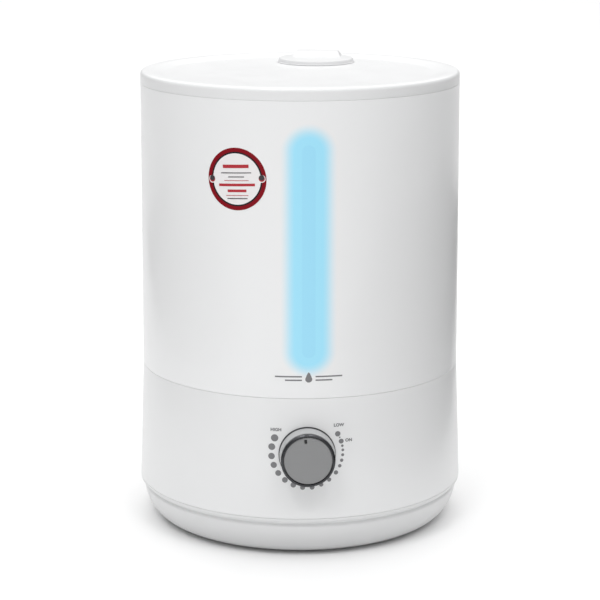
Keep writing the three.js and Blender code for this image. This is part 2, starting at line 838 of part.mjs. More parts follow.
// The push post in the basin holds the plunger up, so the valve stands open while the tank is on the base.
const capLow = zTankUnder - fitGap - 2.8;
const zSeat = zTankFloor + 1.2;
const guideHigh = zTankUnder + 2;
const valveCap = cut(
  join(
    tube(valveBore, capTubeOuter + 7, capLow, zTankUnder - fitGap),
    tube(valveBore, capTubeOuter, capLow, zSeat),
    tube(stemRadius + slideGap, valveBore + 0.5, guideHigh - 2, guideHigh),
  ),
  ...[0, 90, 180, 270].map((bearing) =>
    at(rod(2, guideHigh - 3, guideHigh + 1, 8), fromBack(6.1, bearing)),
  ),
);
addPiece("valve_cap", at(valveCap, valvePlace), greyPlastic);

const buttonLow = zPushPost + fitGap;
const buttonHigh = buttonLow + 2;
const valveHeadLow = zSeat + fitGap + valveTravel + 2 + fitGap;
const plunger = turned(
  [
    [0, buttonLow],
    [6, buttonLow],
    [6, buttonHigh],
    [stemRadius, buttonHigh],
    [stemRadius, valveHeadLow],
    [capTubeOuter - 0.6, valveHeadLow],
    [capTubeOuter - 0.6, valveHeadLow + 2],
    [0, valveHeadLow + 2],
  ],
  20,
);
addPiece("valve_plunger", at(plunger, valvePlace), greyPlastic);
const valveSeal = tube(
  stemRadius + fitGap,
  capTubeOuter - 0.8,
  valveHeadLow - fitGap - 2,
  valveHeadLow - fitGap,
  20,
);
addPiece("valve_seal", at(valveSeal, valvePlace), silicone);

class Helix extends THREE.Curve {
  constructor(radius, low, high, turns) {
    super();
    Object.assign(this, { radius, low, high, turns });
  }
  getPoint(share, target = new THREE.Vector3()) {
    const turn = share * this.turns * 2 * Math.PI;
    const z = this.low + (this.high - this.low) * share;
    return target.set(this.radius * Math.cos(turn), this.radius * Math.sin(turn), z);
  }
}
const wireRadius = 0.45;
function makeSpring() {
  const section = new THREE.Shape();
  section.absarc(0, 0, wireRadius, 0, 2 * Math.PI);
  const low = buttonHigh + fitGap + wireRadius;
  const high = guideHigh - 2 - fitGap - wireRadius;
  return new THREE.ExtrudeGeometry(section, {
    extrudePath: new Helix(4.3, low, high, 4),
    steps: 48,
    curveSegments: 3,
  });
}
addPiece("valve_spring", at(makeSpring(), valvePlace), steel);

// ---------------------------------------------------------------- light guide in the tank

// A clear bar with round ends that stands just behind the tank's front wall, on a stem that takes
// light up from the base.
function makeLightGuide() {
  const end = stripWidth / 2;
  const zStripTop = zTankTop - stripDrop;
  const zStripLow = zTankFloor + stripRise;
  const outline = new THREE.Shape();
  outline.absarc(0, zStripTop - end, end, 0, Math.PI);
  outline.absarc(0, zStripLow + end, end, Math.PI, 2 * Math.PI);
  const flat = (stripWidth / 2) * Math.tan(Math.PI / bodySteps); // the facets stand in from the round
  const front = tankRadiusAt(zStripTop) - wall - fitGap - flat;
  const bar = new THREE.ExtrudeGeometry(outline, {
    depth: stripThickness,
    bevelEnabled: false,
    curveSegments: 8,
  })
    .rotateX(Math.PI / 2)
    .translate(0, stripThickness - front, 0);
  const stem = rod(1.8, zTankFloor + fitGap, zStripLow + stripWidth, 8);
  return join(bar, stem.translate(0, stripThickness / 2 - front, 0));
}
addPiece("light_guide", makeLightGuide(), clearAcrylic);

// ---------------------------------------------------------------- sticker

function makeSticker() {
  const z = zTankTop - stickerDrop;
  const band = (offset) => [
    [tankRadiusAt(z - stickerRadius) + offset, z - stickerRadius - 1],
    [tankRadiusAt(z + stickerRadius) + offset, z + stickerRadius + 1],
  ];
  const skin = turned([
    ...band(fitGap),
    ...band(fitGap + stickerThickness).toReversed(),
  ]);
  const punch = rod(stickerRadius, 0, 2 * bodyRadius, 32)
    .rotateX(Math.PI / 2)
    .translate(0, 0, z);
  return common(skin, turnedTo(punch, stickerBearing));
}
addPiece("round_sticker", makeSticker(), stickerPaper);

// ---------------------------------------------------------------- lid

const skirtOuter = tankTopRadius - wall - slideGap - 0.2;
const skirtInner = skirtOuter - 3.4;
const zSkirt = zLid - skirtDepth;
const grooveLow = zSkirt + 2.5;
const grooveHigh = grooveLow + 2.8;
const grooveDepth = 1.7;
const lidUnder = zPlateau - lidPlate;
const zSpigot = zChimneyTop - 8;

function makeLid() {
  const plate = turned([
    [0, lidUnder],
    [skirtInner, lidUnder],
    [skirtInner, zSkirt],
    [skirtOuter, zSkirt],
    [skirtOuter, grooveLow],
    [skirtOuter - grooveDepth, grooveLow],
    [skirtOuter - grooveDepth, grooveHigh],
    [skirtOuter, grooveHigh],
    [skirtOuter, zLid],
    [tankTopRadius, zLid],
    [tankTopRadius, zLidTop - lidEdge],
    [tankTopRadius - 0.3 * lidEdge, zLidTop - 0.3 * lidEdge],
    [tankTopRadius - lidEdge, zLidTop],
    [dishRadius + dishSlope, zLidTop],
    [dishRadius, zPlateau],
    [0, zPlateau],
  ]);
  return cut(
    join(plate, at(rod(spigotOuter, zSpigot, lidUnder + 0.5, tubeSteps), outlet)),
    at(rod(spigotInner, zSpigot - 1, zLidTop, tubeSteps), outlet),
  );
}
addPiece("lid", makeLid(), whiteGloss);
const lidSeal = turned([
  [skirtOuter - grooveDepth + fitGap, grooveLow + fitGap],
  [skirtOuter + fitGap, grooveLow + 0.9],
  [skirtOuter + fitGap, grooveHigh - 0.9],
  [skirtOuter - grooveDepth + fitGap, grooveHigh - fitGap],
]);
addPiece("lid_seal", lidSeal, silicone);

// ---------------------------------------------------------------- mist nozzle

const nozzleLow = zPlateau + fitGap;
const nozzleTop = nozzleLow + nozzleThickness;
const zHub = nozzleLow - 10;
const ringGroove = zHub + 2;
const nozzleRingHeight = 2.4;
const scoopPlate = 1.2;
const crownWidth = scoopWidth - 3.6;

// A block whose top is narrower and starts farther back: each end is [width, front, back, height].
function scoop(foot, crown) {
  const geometry = new THREE.BoxGeometry(2, 2, 2);
  const corners = geometry.attributes.position;
  for (let i = 0; i < corners.count; i += 1) {
    const [width, front, back, height] = corners.getZ(i) > 0 ? crown : foot;
    const y = corners.getY(i) > 0 ? back : front;
    corners.setXYZ(i, (corners.getX(i) * width) / 2, y, height);
  }
  return geometry;
}

// The mist comes up the back half of the hub and leaves through a wide mouth at the scoop's back.
function makeNozzle() {
  const disc = turned(
    [
      [0, nozzleLow],
      [nozzleRadius, nozzleLow],
      [nozzleRadius, nozzleTop - 1],
      [nozzleRadius - 1, nozzleTop],
      [0, nozzleTop],
    ],
    36,
  );
  const hub = turned(
    [
      [hubInner, zHub],
      [hubOuter, zHub],
      [hubOuter, ringGroove],
      [hubOuter - 1.2, ringGroove],
      [hubOuter - 1.2, ringGroove + nozzleRingHeight],
      [hubOuter, ringGroove + nozzleRingHeight],
      [hubOuter, nozzleLow + 0.5],
      [hubInner, nozzleLow + 0.5],
    ],
    tubeSteps,
  );
  const shell = scoop(
    [scoopWidth, 0, scoopReach, nozzleTop - 0.5],
    [crownWidth, scoopReach - 8, scoopReach, nozzleTop + scoopHeight],
  );
  const hollow = scoop(
    [scoopWidth - 2 * scoopPlate, 3.4, scoopReach + 1, nozzleTop],
    [crownWidth - 2 * scoopPlate, scoopReach - 7.4, scoopReach + 1, nozzleTop + scoopHeight - scoopPlate],
  );
  const opening = common(
    rod(hubInner, nozzleLow - 1, nozzleTop + 0.1, tubeSteps),
    block(scoopWidth, scoopReach, nozzleLow - 1, nozzleTop + 0.1).translate(0, 3.4 + scoopReach / 2, 0),
  );
  return join(hub, cut(join(disc, shell), hollow, opening));
}
addPiece("mist_nozzle", at(makeNozzle(), outlet), whiteGloss);
const nozzleRing = tube(
  hubOuter - 1.2 + fitGap,
  hubOuter + 0.2,
  ringGroove + fitGap,
  ringGroove + nozzleRingHeight - fitGap,
);
addPiece("nozzle_ring", at(nozzleRing, outlet), silicone);

export default humidifier;
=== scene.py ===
import json
import math

import bpy
from bpy.props import FloatProperty, FloatVectorProperty, PointerProperty
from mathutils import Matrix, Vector


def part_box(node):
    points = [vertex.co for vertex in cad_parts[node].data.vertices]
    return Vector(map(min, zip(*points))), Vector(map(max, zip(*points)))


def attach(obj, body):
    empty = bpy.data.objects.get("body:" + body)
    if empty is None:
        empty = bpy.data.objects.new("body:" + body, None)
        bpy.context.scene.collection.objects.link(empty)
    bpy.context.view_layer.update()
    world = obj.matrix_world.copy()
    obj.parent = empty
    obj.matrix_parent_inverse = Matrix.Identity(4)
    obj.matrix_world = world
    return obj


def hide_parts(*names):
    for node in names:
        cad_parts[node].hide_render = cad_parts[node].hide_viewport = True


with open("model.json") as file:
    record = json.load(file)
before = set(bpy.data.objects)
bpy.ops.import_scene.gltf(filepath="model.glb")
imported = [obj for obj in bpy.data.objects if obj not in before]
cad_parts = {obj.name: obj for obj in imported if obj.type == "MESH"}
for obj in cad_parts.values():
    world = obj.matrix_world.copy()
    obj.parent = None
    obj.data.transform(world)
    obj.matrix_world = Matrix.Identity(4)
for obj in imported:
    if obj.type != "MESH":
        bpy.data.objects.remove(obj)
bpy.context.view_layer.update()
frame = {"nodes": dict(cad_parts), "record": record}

bl_info = {
    "name": "Cool Mist Humidifier",
    "version": (1, 0, 0),
    "blender": (4, 5, 0),
    "location": "View3D > Sidebar > Humidifier",
    "description": "Builds a round top-fill humidifier round its measured frame",
    "category": "Object",
}

MM = 0.001
ROUND = 192  # steps round a housing
FINE = 96  # steps round a hand-sized piece
SMALL = 48  # steps round a small piece

# Levels of the housings above the table, in millimetres.
PAN_LOW, PAN_TOP = 1.5, 29.0
SHELL_LOW, SHELL_TOP = 29.15, 110.53
TANK_LOW, TANK_TOP = 110.67, 304.96
LID_LOW, LID_TOP = 305.04, 313.2
PLATEAU = 311.2
BASIN_RIM, BASIN_FLOOR = 106.4, 86.4
TANK_UNDER, TANK_FLOOR = 113.6, 116.6
DIAL_HEIGHT = 73.0
OUTLET = (13.97, 60.51)
COLLAR = (-57.88, 0.0)
VALVE = (0.0, -38.0)
FLOAT_POST = (52.0, -8.0)
LAMP = (0.0, -102.8)
SCREW_BEARINGS = (45, 135, 225, 315)
SCREW_CIRCLE = 90.2


# ---------------------------------------------------------------- shaping


def deselect():
    """Leaves edit mode and lets go of everything."""
    if bpy.context.object and bpy.context.object.mode != "OBJECT":
        bpy.ops.object.mode_set(mode="OBJECT")
    bpy.ops.object.select_all(action="DESELECT")


def choose(obj, *others):
    """Selects these objects, with the first one active."""
    deselect()
    for each in (obj, *others):
        each.select_set(True)
    bpy.context.view_layer.objects.active = obj


def rounded(points):
    """Turns (radius, height, fillet) corners into a smooth profile, in metres."""
    path = []
    for i, point in enumerate(points):
        here = Vector(point[:2])
        fillet = point[2] if len(point) > 2 else 0
        if not fillet or i in (0, len(points) - 1):
            path.append(here)
            continue
        back = Vector(points[i - 1][:2]) - here
        ahead = Vector(points[i + 1][:2]) - here
        corner = back.angle(ahead)
        run = min(fillet / math.tan(corner / 2), 0.49 * back.length, 0.49 * ahead.length)
        start = here + back.normalized() * run
        end = here + ahead.normalized() * run
        bend = math.pi - corner
        count = max(2, round(math.degrees(bend) / 12))
        for k in range(count + 1):
            t = k / count
            path.append(start * (1 - t) ** 2 + here * 2 * t * (1 - t) + end * t * t)
    return [p * MM for p in path]


def finish_mesh(obj):
    """Merges doubles, points the faces outwards and smooths all but the sharp edges."""
    choose(obj)
    bpy.ops.object.mode_set(mode="EDIT")
    bpy.ops.mesh.select_all(action="SELECT")
    bpy.ops.mesh.remove_doubles(threshold=0.00001)
    bpy.ops.mesh.normals_make_consistent(inside=False)
    bpy.ops.object.mode_set(mode="OBJECT")
    bpy.ops.object.shade_smooth_by_angle(angle=math.radians(30))


def settle(obj):
    """Puts the object's place and turn into its mesh."""
    choose(obj)
    bpy.ops.object.transform_apply(location=True, rotation=True, scale=True)


def trace(name, path):
    """Draws a line through (across, up) points by extruding one point, in the upright plane."""
    deselect()
    bpy.ops.mesh.primitive_plane_add(size=MM, location=(0, 0, 0))
    obj = bpy.context.object
    obj.name = name
    bpy.ops.object.mode_set(mode="EDIT")
    bpy.ops.mesh.select_mode(type="VERT")
    bpy.ops.mesh.select_all(action="SELECT")
    bpy.ops.mesh.merge(type="CENTER")
    bpy.ops.transform.translate(value=(path[0].x, 0, path[0].y))
    for a, b in zip(path, path[1:]):
        step = b - a
        if step.length < 1e-7:
            continue
        bpy.ops.mesh.extrude_region_move(TRANSFORM_OT_translate={"value": (step.x, 0, step.y)})
    bpy.ops.mesh.select_all(action="SELECT")
    bpy.ops.mesh.remove_doubles(threshold=0.000001)
    bpy.ops.mesh.select_all(action="SELECT")
    return obj


def turned(name, points, steps=ROUND, place=(0, 0)):
    """Spins a profile of (radius, height, fillet) round the upright axis."""
    path = rounded(points)
    if points[0][0] > 0:
        path.append(path[0])
    obj = trace(name, path)
    bpy.ops.mesh.spin(steps=steps, angle=math.tau, center=(0, 0, 0), axis=(0, 0, 1))
    bpy.ops.object.mode_set(mode="OBJECT")
    finish_mesh(obj)
    obj.location = (place[0] * MM, place[1] * MM, 0)
    settle(obj)
    return obj


def drawn(name, points, length, turn=0):
    """Fills an outline of (across, height, fillet), draws it out, and turns it about the upright axis."""
    path = rounded(points)
    obj = trace(name, [*path, path[0]])
    bpy.ops.mesh.edge_face_add()
    bpy.ops.mesh.extrude_region_move(TRANSFORM_OT_translate={"value": (0, length * MM, 0)})
    bpy.ops.object.mode_set(mode="OBJECT")
    finish_mesh(obj)
    obj.location = (0, -length / 2 * MM, 0)
    settle(obj)
    obj.rotation_euler = (0, 0, math.radians(turn))
    settle(obj)
    return obj


def rod(name, radius, low, high, place=(0, 0), steps=SMALL, fillet=0.0):
    """A round post with its two rims eased."""
    rims = [(radius, low, fillet), (radius, high, fillet)]
    return turned(name, [(0, low), *rims, (0, high)], steps, place)


def pipe(name, inner, outer, low, high, place=(0, 0), steps=FINE, fillet=0.3):
    """A round sleeve with its four rims eased."""
    corners = [(inner, low), (outer, low), (outer, high), (inner, high)]
    rims = [(*corner, fillet) for corner in corners]
    return turned(name, [(inner, (low + high) / 2), *rims], steps, place)


def block(name, size, centre, fillet=0.0):
    """A box with its edges eased, sized and placed in millimetres."""
    deselect()
    bpy.ops.mesh.primitive_cube_add(size=1, location=[c * MM for c in centre])
    obj = bpy.context.object
    obj.name = name
    obj.scale = [s * MM for s in size]
    settle(obj)
    if fillet:
        ease(obj, fillet)
    return obj


def ease(obj, width, angle=35):
    """Bevels every edge sharper than the angle."""
    bevel = obj.modifiers.new("Eased edges", "BEVEL")
    bevel.width = width * MM
    bevel.segments = 2
    bevel.limit_method = "ANGLE"
    bevel.angle_limit = math.radians(angle)
    bevel.use_clamp_overlap = True
    choose(obj)
    bpy.ops.object.modifier_apply(modifier=bevel.name)
    bpy.ops.object.shade_smooth_by_angle(angle=math.radians(angle))


def carve(obj, others, operation="DIFFERENCE"):
    """Cuts other solids out of a piece, or welds them on, and clears them away."""
    for other in others:
        change = obj.modifiers.new("Carve", "BOOLEAN")
        change.operation = operation
        change.solver = "EXACT"
        change.object = other
        choose(obj)
        bpy.ops.object.modifier_apply(modifier=change.name)
        bpy.data.objects.remove(other)
    finish_mesh(obj)
    return obj


def weld(obj, others):
    return carve(obj, others, "UNION")


def face_front(obj, depth, height, side=1):
    """Lays a piece built upright so that its top faces the front, or the back with side -1."""
    obj.rotation_euler = (side * math.pi / 2, 0, 0)
    obj.location = (0, -side * depth * MM, height * MM)
    settle(obj)
    return obj


def face_back(obj, depth, height):
    return face_front(obj, depth, height, -1)


def bearing_place(radius, bearing):
    """A place at a bearing clockwise from the back."""
    turn = math.radians(bearing)
    return (radius * math.sin(turn), radius * math.cos(turn))


def wrap(obj, target, lift, thickness):
    """Lays a flat, front-facing cut-out on a housing's wall and gives it its thickness."""
    lay = obj.modifiers.new("Lay on wall", "SHRINKWRAP")
    lay.target = target
    lay.wrap_method = "PROJECT"
    lay.use_project_y = True
    lay.use_positive_direction = True
    lay.use_negative_direction = False
    lay.offset = 0
    choose(obj)
    bpy.ops.object.modifier_apply(modifier=lay.name)
    bpy.ops.object.mode_set(mode="EDIT")
    bpy.ops.mesh.select_all(action="SELECT")
    bpy.ops.transform.translate(value=(0, -lift * MM, 0))
    bpy.ops.mesh.extrude_region_move(TRANSFORM_OT_translate={"value": (0, -thickness * MM, 0)})
    bpy.ops.mesh.select_all(action="SELECT")
    bpy.ops.mesh.normals_make_consistent(inside=False)
    bpy.ops.object.mode_set(mode="OBJECT")
    bpy.ops.object.shade_smooth_by_angle(angle=math.radians(30))
    return obj


def join_up(name, objs):
    choose(*objs)
    bpy.ops.object.join()
    obj = bpy.context.object
    obj.name = name
    return obj


def done(obj, material, body, slot, *nodes):
    """Gives a finished piece its material, its body and the nodes it stands for."""
    obj.name = obj.name.replace(" ", "_")
    obj.data.materials.clear()
    obj.data.materials.append(material)
    obj.data.name = obj.name
    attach(obj, body)
    if nodes:
        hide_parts(*nodes)
    return obj


# ---------------------------------------------------------------- finishes


class Finish:
    """A material's node tree, with short ways to add and link nodes."""

    def __init__(self, name):
        self.material = bpy.data.materials.new(name)
        self.material.use_nodes = True
        self.tree = self.material.node_tree
        self.shader = self.tree.nodes["Principled BSDF"]
        self.place = self.add("ShaderNodeTexCoord").outputs["Object"]

    def add(self, kind, **values):
        node = self.tree.nodes.new(kind)
        for key, value in values.items():
            setattr(node, key, value)
        return node

    def link(self, source, target):
        self.tree.links.new(source, target)

    def along(self):
        """The place on the object, as x, y and z."""
        split = self.add("ShaderNodeSeparateXYZ")
        self.link(self.place, split.inputs[0])
        return split.outputs

    def math(self, operation, first, second=0.0):
        node = self.add("ShaderNodeMath", operation=operation)
        for socket, value in zip(node.inputs, (first, second)):
            if isinstance(value, (int, float)):
                socket.default_value = value
            else:
                self.link(value, socket)
        return node.outputs[0]

    def noise(self, scale, detail=4.0, stretch=(1, 1, 1)):
        place = self.place
        if stretch != (1, 1, 1):
            mapping = self.add("ShaderNodeMapping")
            mapping.inputs["Scale"].default_value = stretch
            self.link(place, mapping.inputs["Vector"])
            place = mapping.outputs[0]
        node = self.add("ShaderNodeTexNoise")
        node.inputs["Scale"].default_value = scale
        node.inputs["Detail"].default_value = detail
        self.link(place, node.inputs["Vector"])
        return node.outputs["Fac"]

    def spread(self, value, low, high, start=0.3, end=0.7, smooth=False):
        node = self.add("ShaderNodeMapRange")
        if smooth:
            node.interpolation_type = "SMOOTHSTEP"
        for key, number in (("From Min", start), ("From Max", end), ("To Min", low), ("To Max", high)):
            node.inputs[key].default_value = number
        self.link(value, node.inputs["Value"])
        return node.outputs["Result"]

    def mix(self, share, first, second):
        node = self.add("ShaderNodeMix", data_type="RGBA")
        self.link(share, node.inputs["Factor"])
        for key, value in ((6, first), (7, second)):
            if isinstance(value, tuple):
                node.inputs[key].default_value = (*value, 1) if len(value) == 3 else value
            else:
                self.link(value, node.inputs[key])
        return node.outputs[2]

    def color(self, name, color):
        self.shader.inputs[name].default_value = (*color, 1)

    def rough(self, low, high, grain):
        """Varies the gloss slightly over the surface."""
        self.link(self.spread(self.noise(grain), low, high), self.shader.inputs["Roughness"])


def linear(color):
    """A colour as seen on screen, 0 to 255, as light."""
    return tuple(
        (c / 255 / 12.92) if c <= 10 else ((c / 255 + 0.055) / 1.055) ** 2.4 for c in color
    )


FINISHES = {}


def plain(name, color, roughness, metallic=0.0, coat=0.0, grain=900.0):
    """A moulded or plated finish whose gloss varies slightly over the surface."""
    if name in FINISHES:
        return FINISHES[name].material
    f = Finish(name)
    FINISHES[name] = f
    f.color("Base Color", color)
    f.shader.inputs["Metallic"].default_value = metallic
    f.shader.inputs["Coat Weight"].default_value = coat
    f.shader.inputs["Coat Roughness"].default_value = 0.12
    f.rough(roughness - 0.04, roughness + 0.04, grain)
    return f.material


def white_gloss():
    """The housings' white."""
    return plain("White housing plastic", tuple(colours().housing), 0.34, coat=0.15, grain=60)


def tank_plastic_with_painted_glow():
    """White vessel plastic with a pale blue glow painted on its front wall along the night light, a blue
    tint in its colour and emission round the bar, and its white painted a little lighter than the
    housing's, as light.
    """
    if "tank" in FINISHES:
        return FINISHES["tank"].material
    f = Finish("White vessel plastic with night light")
    FINISHES["tank"] = f
    x, y, z = f.along()
    x = f.math("SUBTRACT", x, STRIP_SIDE * MM)
    low, high = STRIP_LOW + STRIP_HALF, STRIP_HIGH - STRIP_HALF
    inside = f.add("ShaderNodeClamp")
    f.link(z, inside.inputs["Value"])
    inside.inputs["Min"].default_value = low * MM
    inside.inputs["Max"].default_value = high * MM
    over = f.math("SUBTRACT", z, inside.outputs[0])
    away = f.math("SQRT", f.math("ADD", f.math("MULTIPLY", x, x), f.math("MULTIPLY", over, over)))
    front = f.math("LESS_THAN", y, -0.06)
    # Painted glow: a blue tint and emission on the front wall, soft round the bar behind it; the wall
    # itself is no lamp.
    glow = f.spread(away, 1, 0, 8.4 * MM, 19.0 * MM, smooth=True)
    bar = f.spread(away, 1, 0, (STRIP_HALF - 0.5) * MM, (STRIP_HALF + 0.5) * MM, smooth=True)
    glow = f.math("MULTIPLY", glow, front)
    bar = f.math("MULTIPLY", bar, front)
    # The tank's white is painted 7% lighter than the housing's, as light falling on it.
    white = tuple(1.07 * c for c in colours().housing)
    tint = f.mix(bar, GLOW_HALO, GLOW_BAR)
    f.link(f.mix(glow, white, tint), f.shader.inputs["Base Color"])
    light = f.mix(bar, GLOW_HALO_LIGHT, GLOW_BAR_LIGHT)
    f.link(f.mix(glow, (0, 0, 0), light), f.shader.inputs["Emission Color"])
    f.shader.inputs["Emission Strength"].default_value = 1.0
    f.shader.inputs["Coat Weight"].default_value = 0.15
    f.rough(0.3, 0.38, 60)
    return f.material


def pan_white_with_painted_shade():
    """The housing's white, painted greyer towards the pan's foot as shade on the bowl that faces the
    floor.
    """
    f = Finish("White pan plastic with painted shade")
    height = f.spread(f.along()[2], 0, 1, 2 * MM, 21 * MM)
    # Painted shade: from 0.74 of the housing's white low on the bowl to 0.91 above it.
    low, high = (tuple(share * c for c in colours().housing) for share in (0.74, 0.91))
    f.link(f.mix(height, low, high), f.shader.inputs["Base Color"])
    f.rough(0.32, 0.4, 60)
    return f.material


def label_finish():
    """Printed rings round a white middle, by distance from the label's centre on its own map."""
    f = Finish("Printed label")
    flat = f.add("ShaderNodeUVMap", uv_map="label")
    length = f.add("ShaderNodeVectorMath", operation="LENGTH")
    f.link(flat.outputs[0], length.inputs[0])
    ramp = f.add("ShaderNodeValToRGB")
    ramp.color_ramp.interpolation = "CONSTANT"
    stops = ramp.color_ramp.elements
    stops[0].position = 0
    stops[0].color = (*linear((236, 234, 234)), 1)
    stops[1].position = LABEL_INNER / LABEL_EDGE
    stops[1].color = (*linear((30, 28, 32)), 1)
    for place, color in ((LABEL_DARK, (130, 4, 22)), (LABEL_RED, (236, 235, 236))):
        stop = stops.new(place / LABEL_EDGE)
        stop.color = (*linear(color), 1)
    f.link(length.outputs["Value"], ramp.inputs[0])
    f.link(ramp.outputs[0], f.shader.inputs["Base Color"])
    f.shader.inputs["Specular IOR Level"].default_value = 0.15
    f.rough(0.3, 0.4, 80)
    return f.material


def brushed(name, color, roughness, metallic=0.8):
    """Fine lines across, as on a brushed cap."""
    f = Finish(name)
    lines = f.noise(220, 3, (0.04, 1, 1))
    low, high = (tuple(share * c for c in color) for share in (0.93, 1.07))
    f.link(f.mix(lines, low, high), f.shader.inputs["Base Color"])
    f.shader.inputs["Metallic"].default_value = metallic
    f.link(f.spread(lines, roughness - 0.05, roughness + 0.05), f.shader.inputs["Roughness"])
    return f.material


# Night light: its bar behind the front wall and the glow painted on the wall round it (tint and emission
# colours), and the printed label's rings.
STRIP_HALF, STRIP_SIDE = 4.4, 1.0
STRIP_LOW, STRIP_HIGH = 138.0, 277.0
GLOW_HALO = linear((149, 203, 219))
GLOW_BAR = linear((146, 200, 218))
GLOW_HALO_LIGHT = (0.05, 0.16, 0.24)
GLOW_BAR_LIGHT = (0.045, 0.15, 0.23)
LABEL_EDGE, LABEL_RED, LABEL_DARK, LABEL_INNER = 20.4, 20.2, 17.6, 16.5
LABEL_HEIGHT, LABEL_BEARING = 254.1, 24.4
MARK_HEIGHT = 125.1


# ---------------------------------------------------------------- sizes and colours to change


def length(name, description, default):
    return FloatProperty(name=name, description=description, default=default, unit="LENGTH")


def shade(name, description, default):
    return FloatVectorProperty(
        name=name, description=description, subtype="COLOR", size=3, default=default
    )


class HUMIDIFIER_PG_sizes(bpy.types.PropertyGroup):
    body_radius: length(
        "Body radius", "Outside radius where the tank stands on the base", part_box("water_tank")[1][0]
    )
    rim_radius: length(
        "Rim radius", "Outside radius of the lid and of the tank's rim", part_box("lid")[1][0]
    )
    foot_radius: length(
        "Base radius", "Outside radius at the foot of the base shell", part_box("base_shell")[1][0]
    )
    nozzle_radius: length("Nozzle radius", "Radius of the disc round the mist outlet", 0.0261)
    knob_radius: length("Knob radius", "Radius of the dial where it meets the wall", 0.0186)
    camera_distance: length(
        "Camera distance", "Level distance from the body's axis to the camera", 1.3708
    )


class HUMIDIFIER_PG_colours(bpy.types.PropertyGroup):
    housing: shade("Housing", "White of the tank, lid and base", (0.79, 0.794, 0.798))
    knob: shade("Knob", "Silver of the dial's side", (0.52, 0.525, 0.53))
    printing: shade(
        "Print", "Grey of the printed dots, legends and mark", linear((122, 122, 124))
    )


def sizes():
    return bpy.context.scene.humidifier_sizes


def colours():
    return bpy.context.scene.humidifier_colours


# ---------------------------------------------------------------- lid and nozzle


class HUMIDIFIER_OT_lid(bpy.types.Operator):
    """Spins the lid with its dished top and hanging skirt, and its seal"""

    bl_idname = "humidifier.lid"
    bl_label = "Lid"

    def execute(self, context):
        edge = sizes().rim_radius / MM
        skirt, inside = edge - 3.1, edge - 6.5
        dish = edge - 17.2
        lid = turned(
            "Lid",
            [
                (0, 308.8),
                (inside, 308.8, 1.5),
                (inside, 297.2, 0.6),
                (skirt, 297.2, 0.6),
                (skirt, 299.7, 0.2),
                (skirt - 1.7, 299.7, 0.2),
                (skirt - 1.7, 302.5, 0.2),
                (skirt, 302.5, 0.2),
                (skirt, LID_LOW),
                (edge, LID_LOW, 0.18),
                (edge, LID_TOP, 3.0),
                (dish + 9.5, LID_TOP, 14),
                (dish, PLATEAU, 14),
                (0, PLATEAU),
            ],
        )
        weld(lid, [rod("Spigot", 17.5, 289.8, 309.5, OUTLET, FINE, 0.4)])
        carve(lid, [rod("Way", 16, 289, 315, OUTLET, FINE)])
        done(lid, white_gloss(), "top", "shell_white", "lid")
        seal = turned(
            "Lid seal",
            [
                (skirt - 1.4, 301.1),
                (skirt - 1.4, 300.0, 0.2),
                (skirt + 0.3, 300.6, 0.3),
                (skirt + 0.3, 301.6, 0.3),
                (skirt - 1.4, 302.2, 0.2),
            ],
        )
        done(seal, silicone(), "top", "silicone", "lid_seal")
        return {"FINISHED"}


class HUMIDIFIER_OT_nozzle(bpy.types.Operator):
    """Spins the nozzle's disc and hub, and raises the scoop over its opening"""

    bl_idname = "humidifier.nozzle"
    bl_label = "Mist nozzle"

    def execute(self, context):
        edge = sizes().nozzle_radius / MM
        disc = turned(
            "Mist nozzle",
            [
                (0, 311.5),
                (13.9, 311.5, 0.4),
                (13.9, 301.5, 0.4),
                (15.5, 301.5, 0.4),
                (15.5, 303.5),
                (14.3, 303.5),
                (14.3, 305.9),
                (15.5, 305.9),
                (15.5, 311.5),
                (edge + 1.2, 311.44),
                (edge + 0.5, 311.8, 0.6),
                (edge + 0.2, 314.4, 1.8),
                (0, 314.4),
            ],
            FINE,
        )
        slope = [(-1, 313.6), (-1, 314.2), (3, 314.3, 9), (13, 317.7, 10), (20, 317.7), (20, 313.6)]
        scoop = drawn("Scoop", slope, 40, turn=90)
        front = drawn(
            "Front",
            [
                (-17.6, 313.6),
                (-16.8, 314.6, 2),
                (-14.6, 317.7, 2.2),
                (14.6, 317.7, 2.2),
                (16.8, 314.6, 2),
                (17.6, 313.6),
            ],
            60,
        )
        carve(scoop, [front], "INTERSECT")
        weld(disc, [scoop])
        throat = [(8.6, 314.0), (14, 316.5, 5), (21, 316.5), (21, 314.0)]
        hollow = drawn("Hollow", throat, 27.6, turn=90)
        hole = rod("Hole", 13.9, 309, 314.15, steps=FINE)
        carve(hole, [block("Front", (32, 32, 8), (0, -8, 311.4))])
        carve(disc, [hollow, hole])
        disc.rotation_euler = (0, 0, math.radians(-7))
        disc.location = (OUTLET[0] * MM, OUTLET[1] * MM, 0)
        settle(disc)
        white = tuple(0.93 * c for c in colours().housing)
        cap = plain("White cap plastic", white, 0.36, coat=0.1, grain=60)
        done(disc, cap, "nozzle", "shell_white", "mist_nozzle")
        ring = pipe("Nozzle ring", 14.6, 15.7, 303.8, 305.6, OUTLET, FINE, 0.4)
        done(ring, silicone(), "nozzle", "silicone", "nozzle_ring")
        return {"FINISHED"}


# ---------------------------------------------------------------- tank


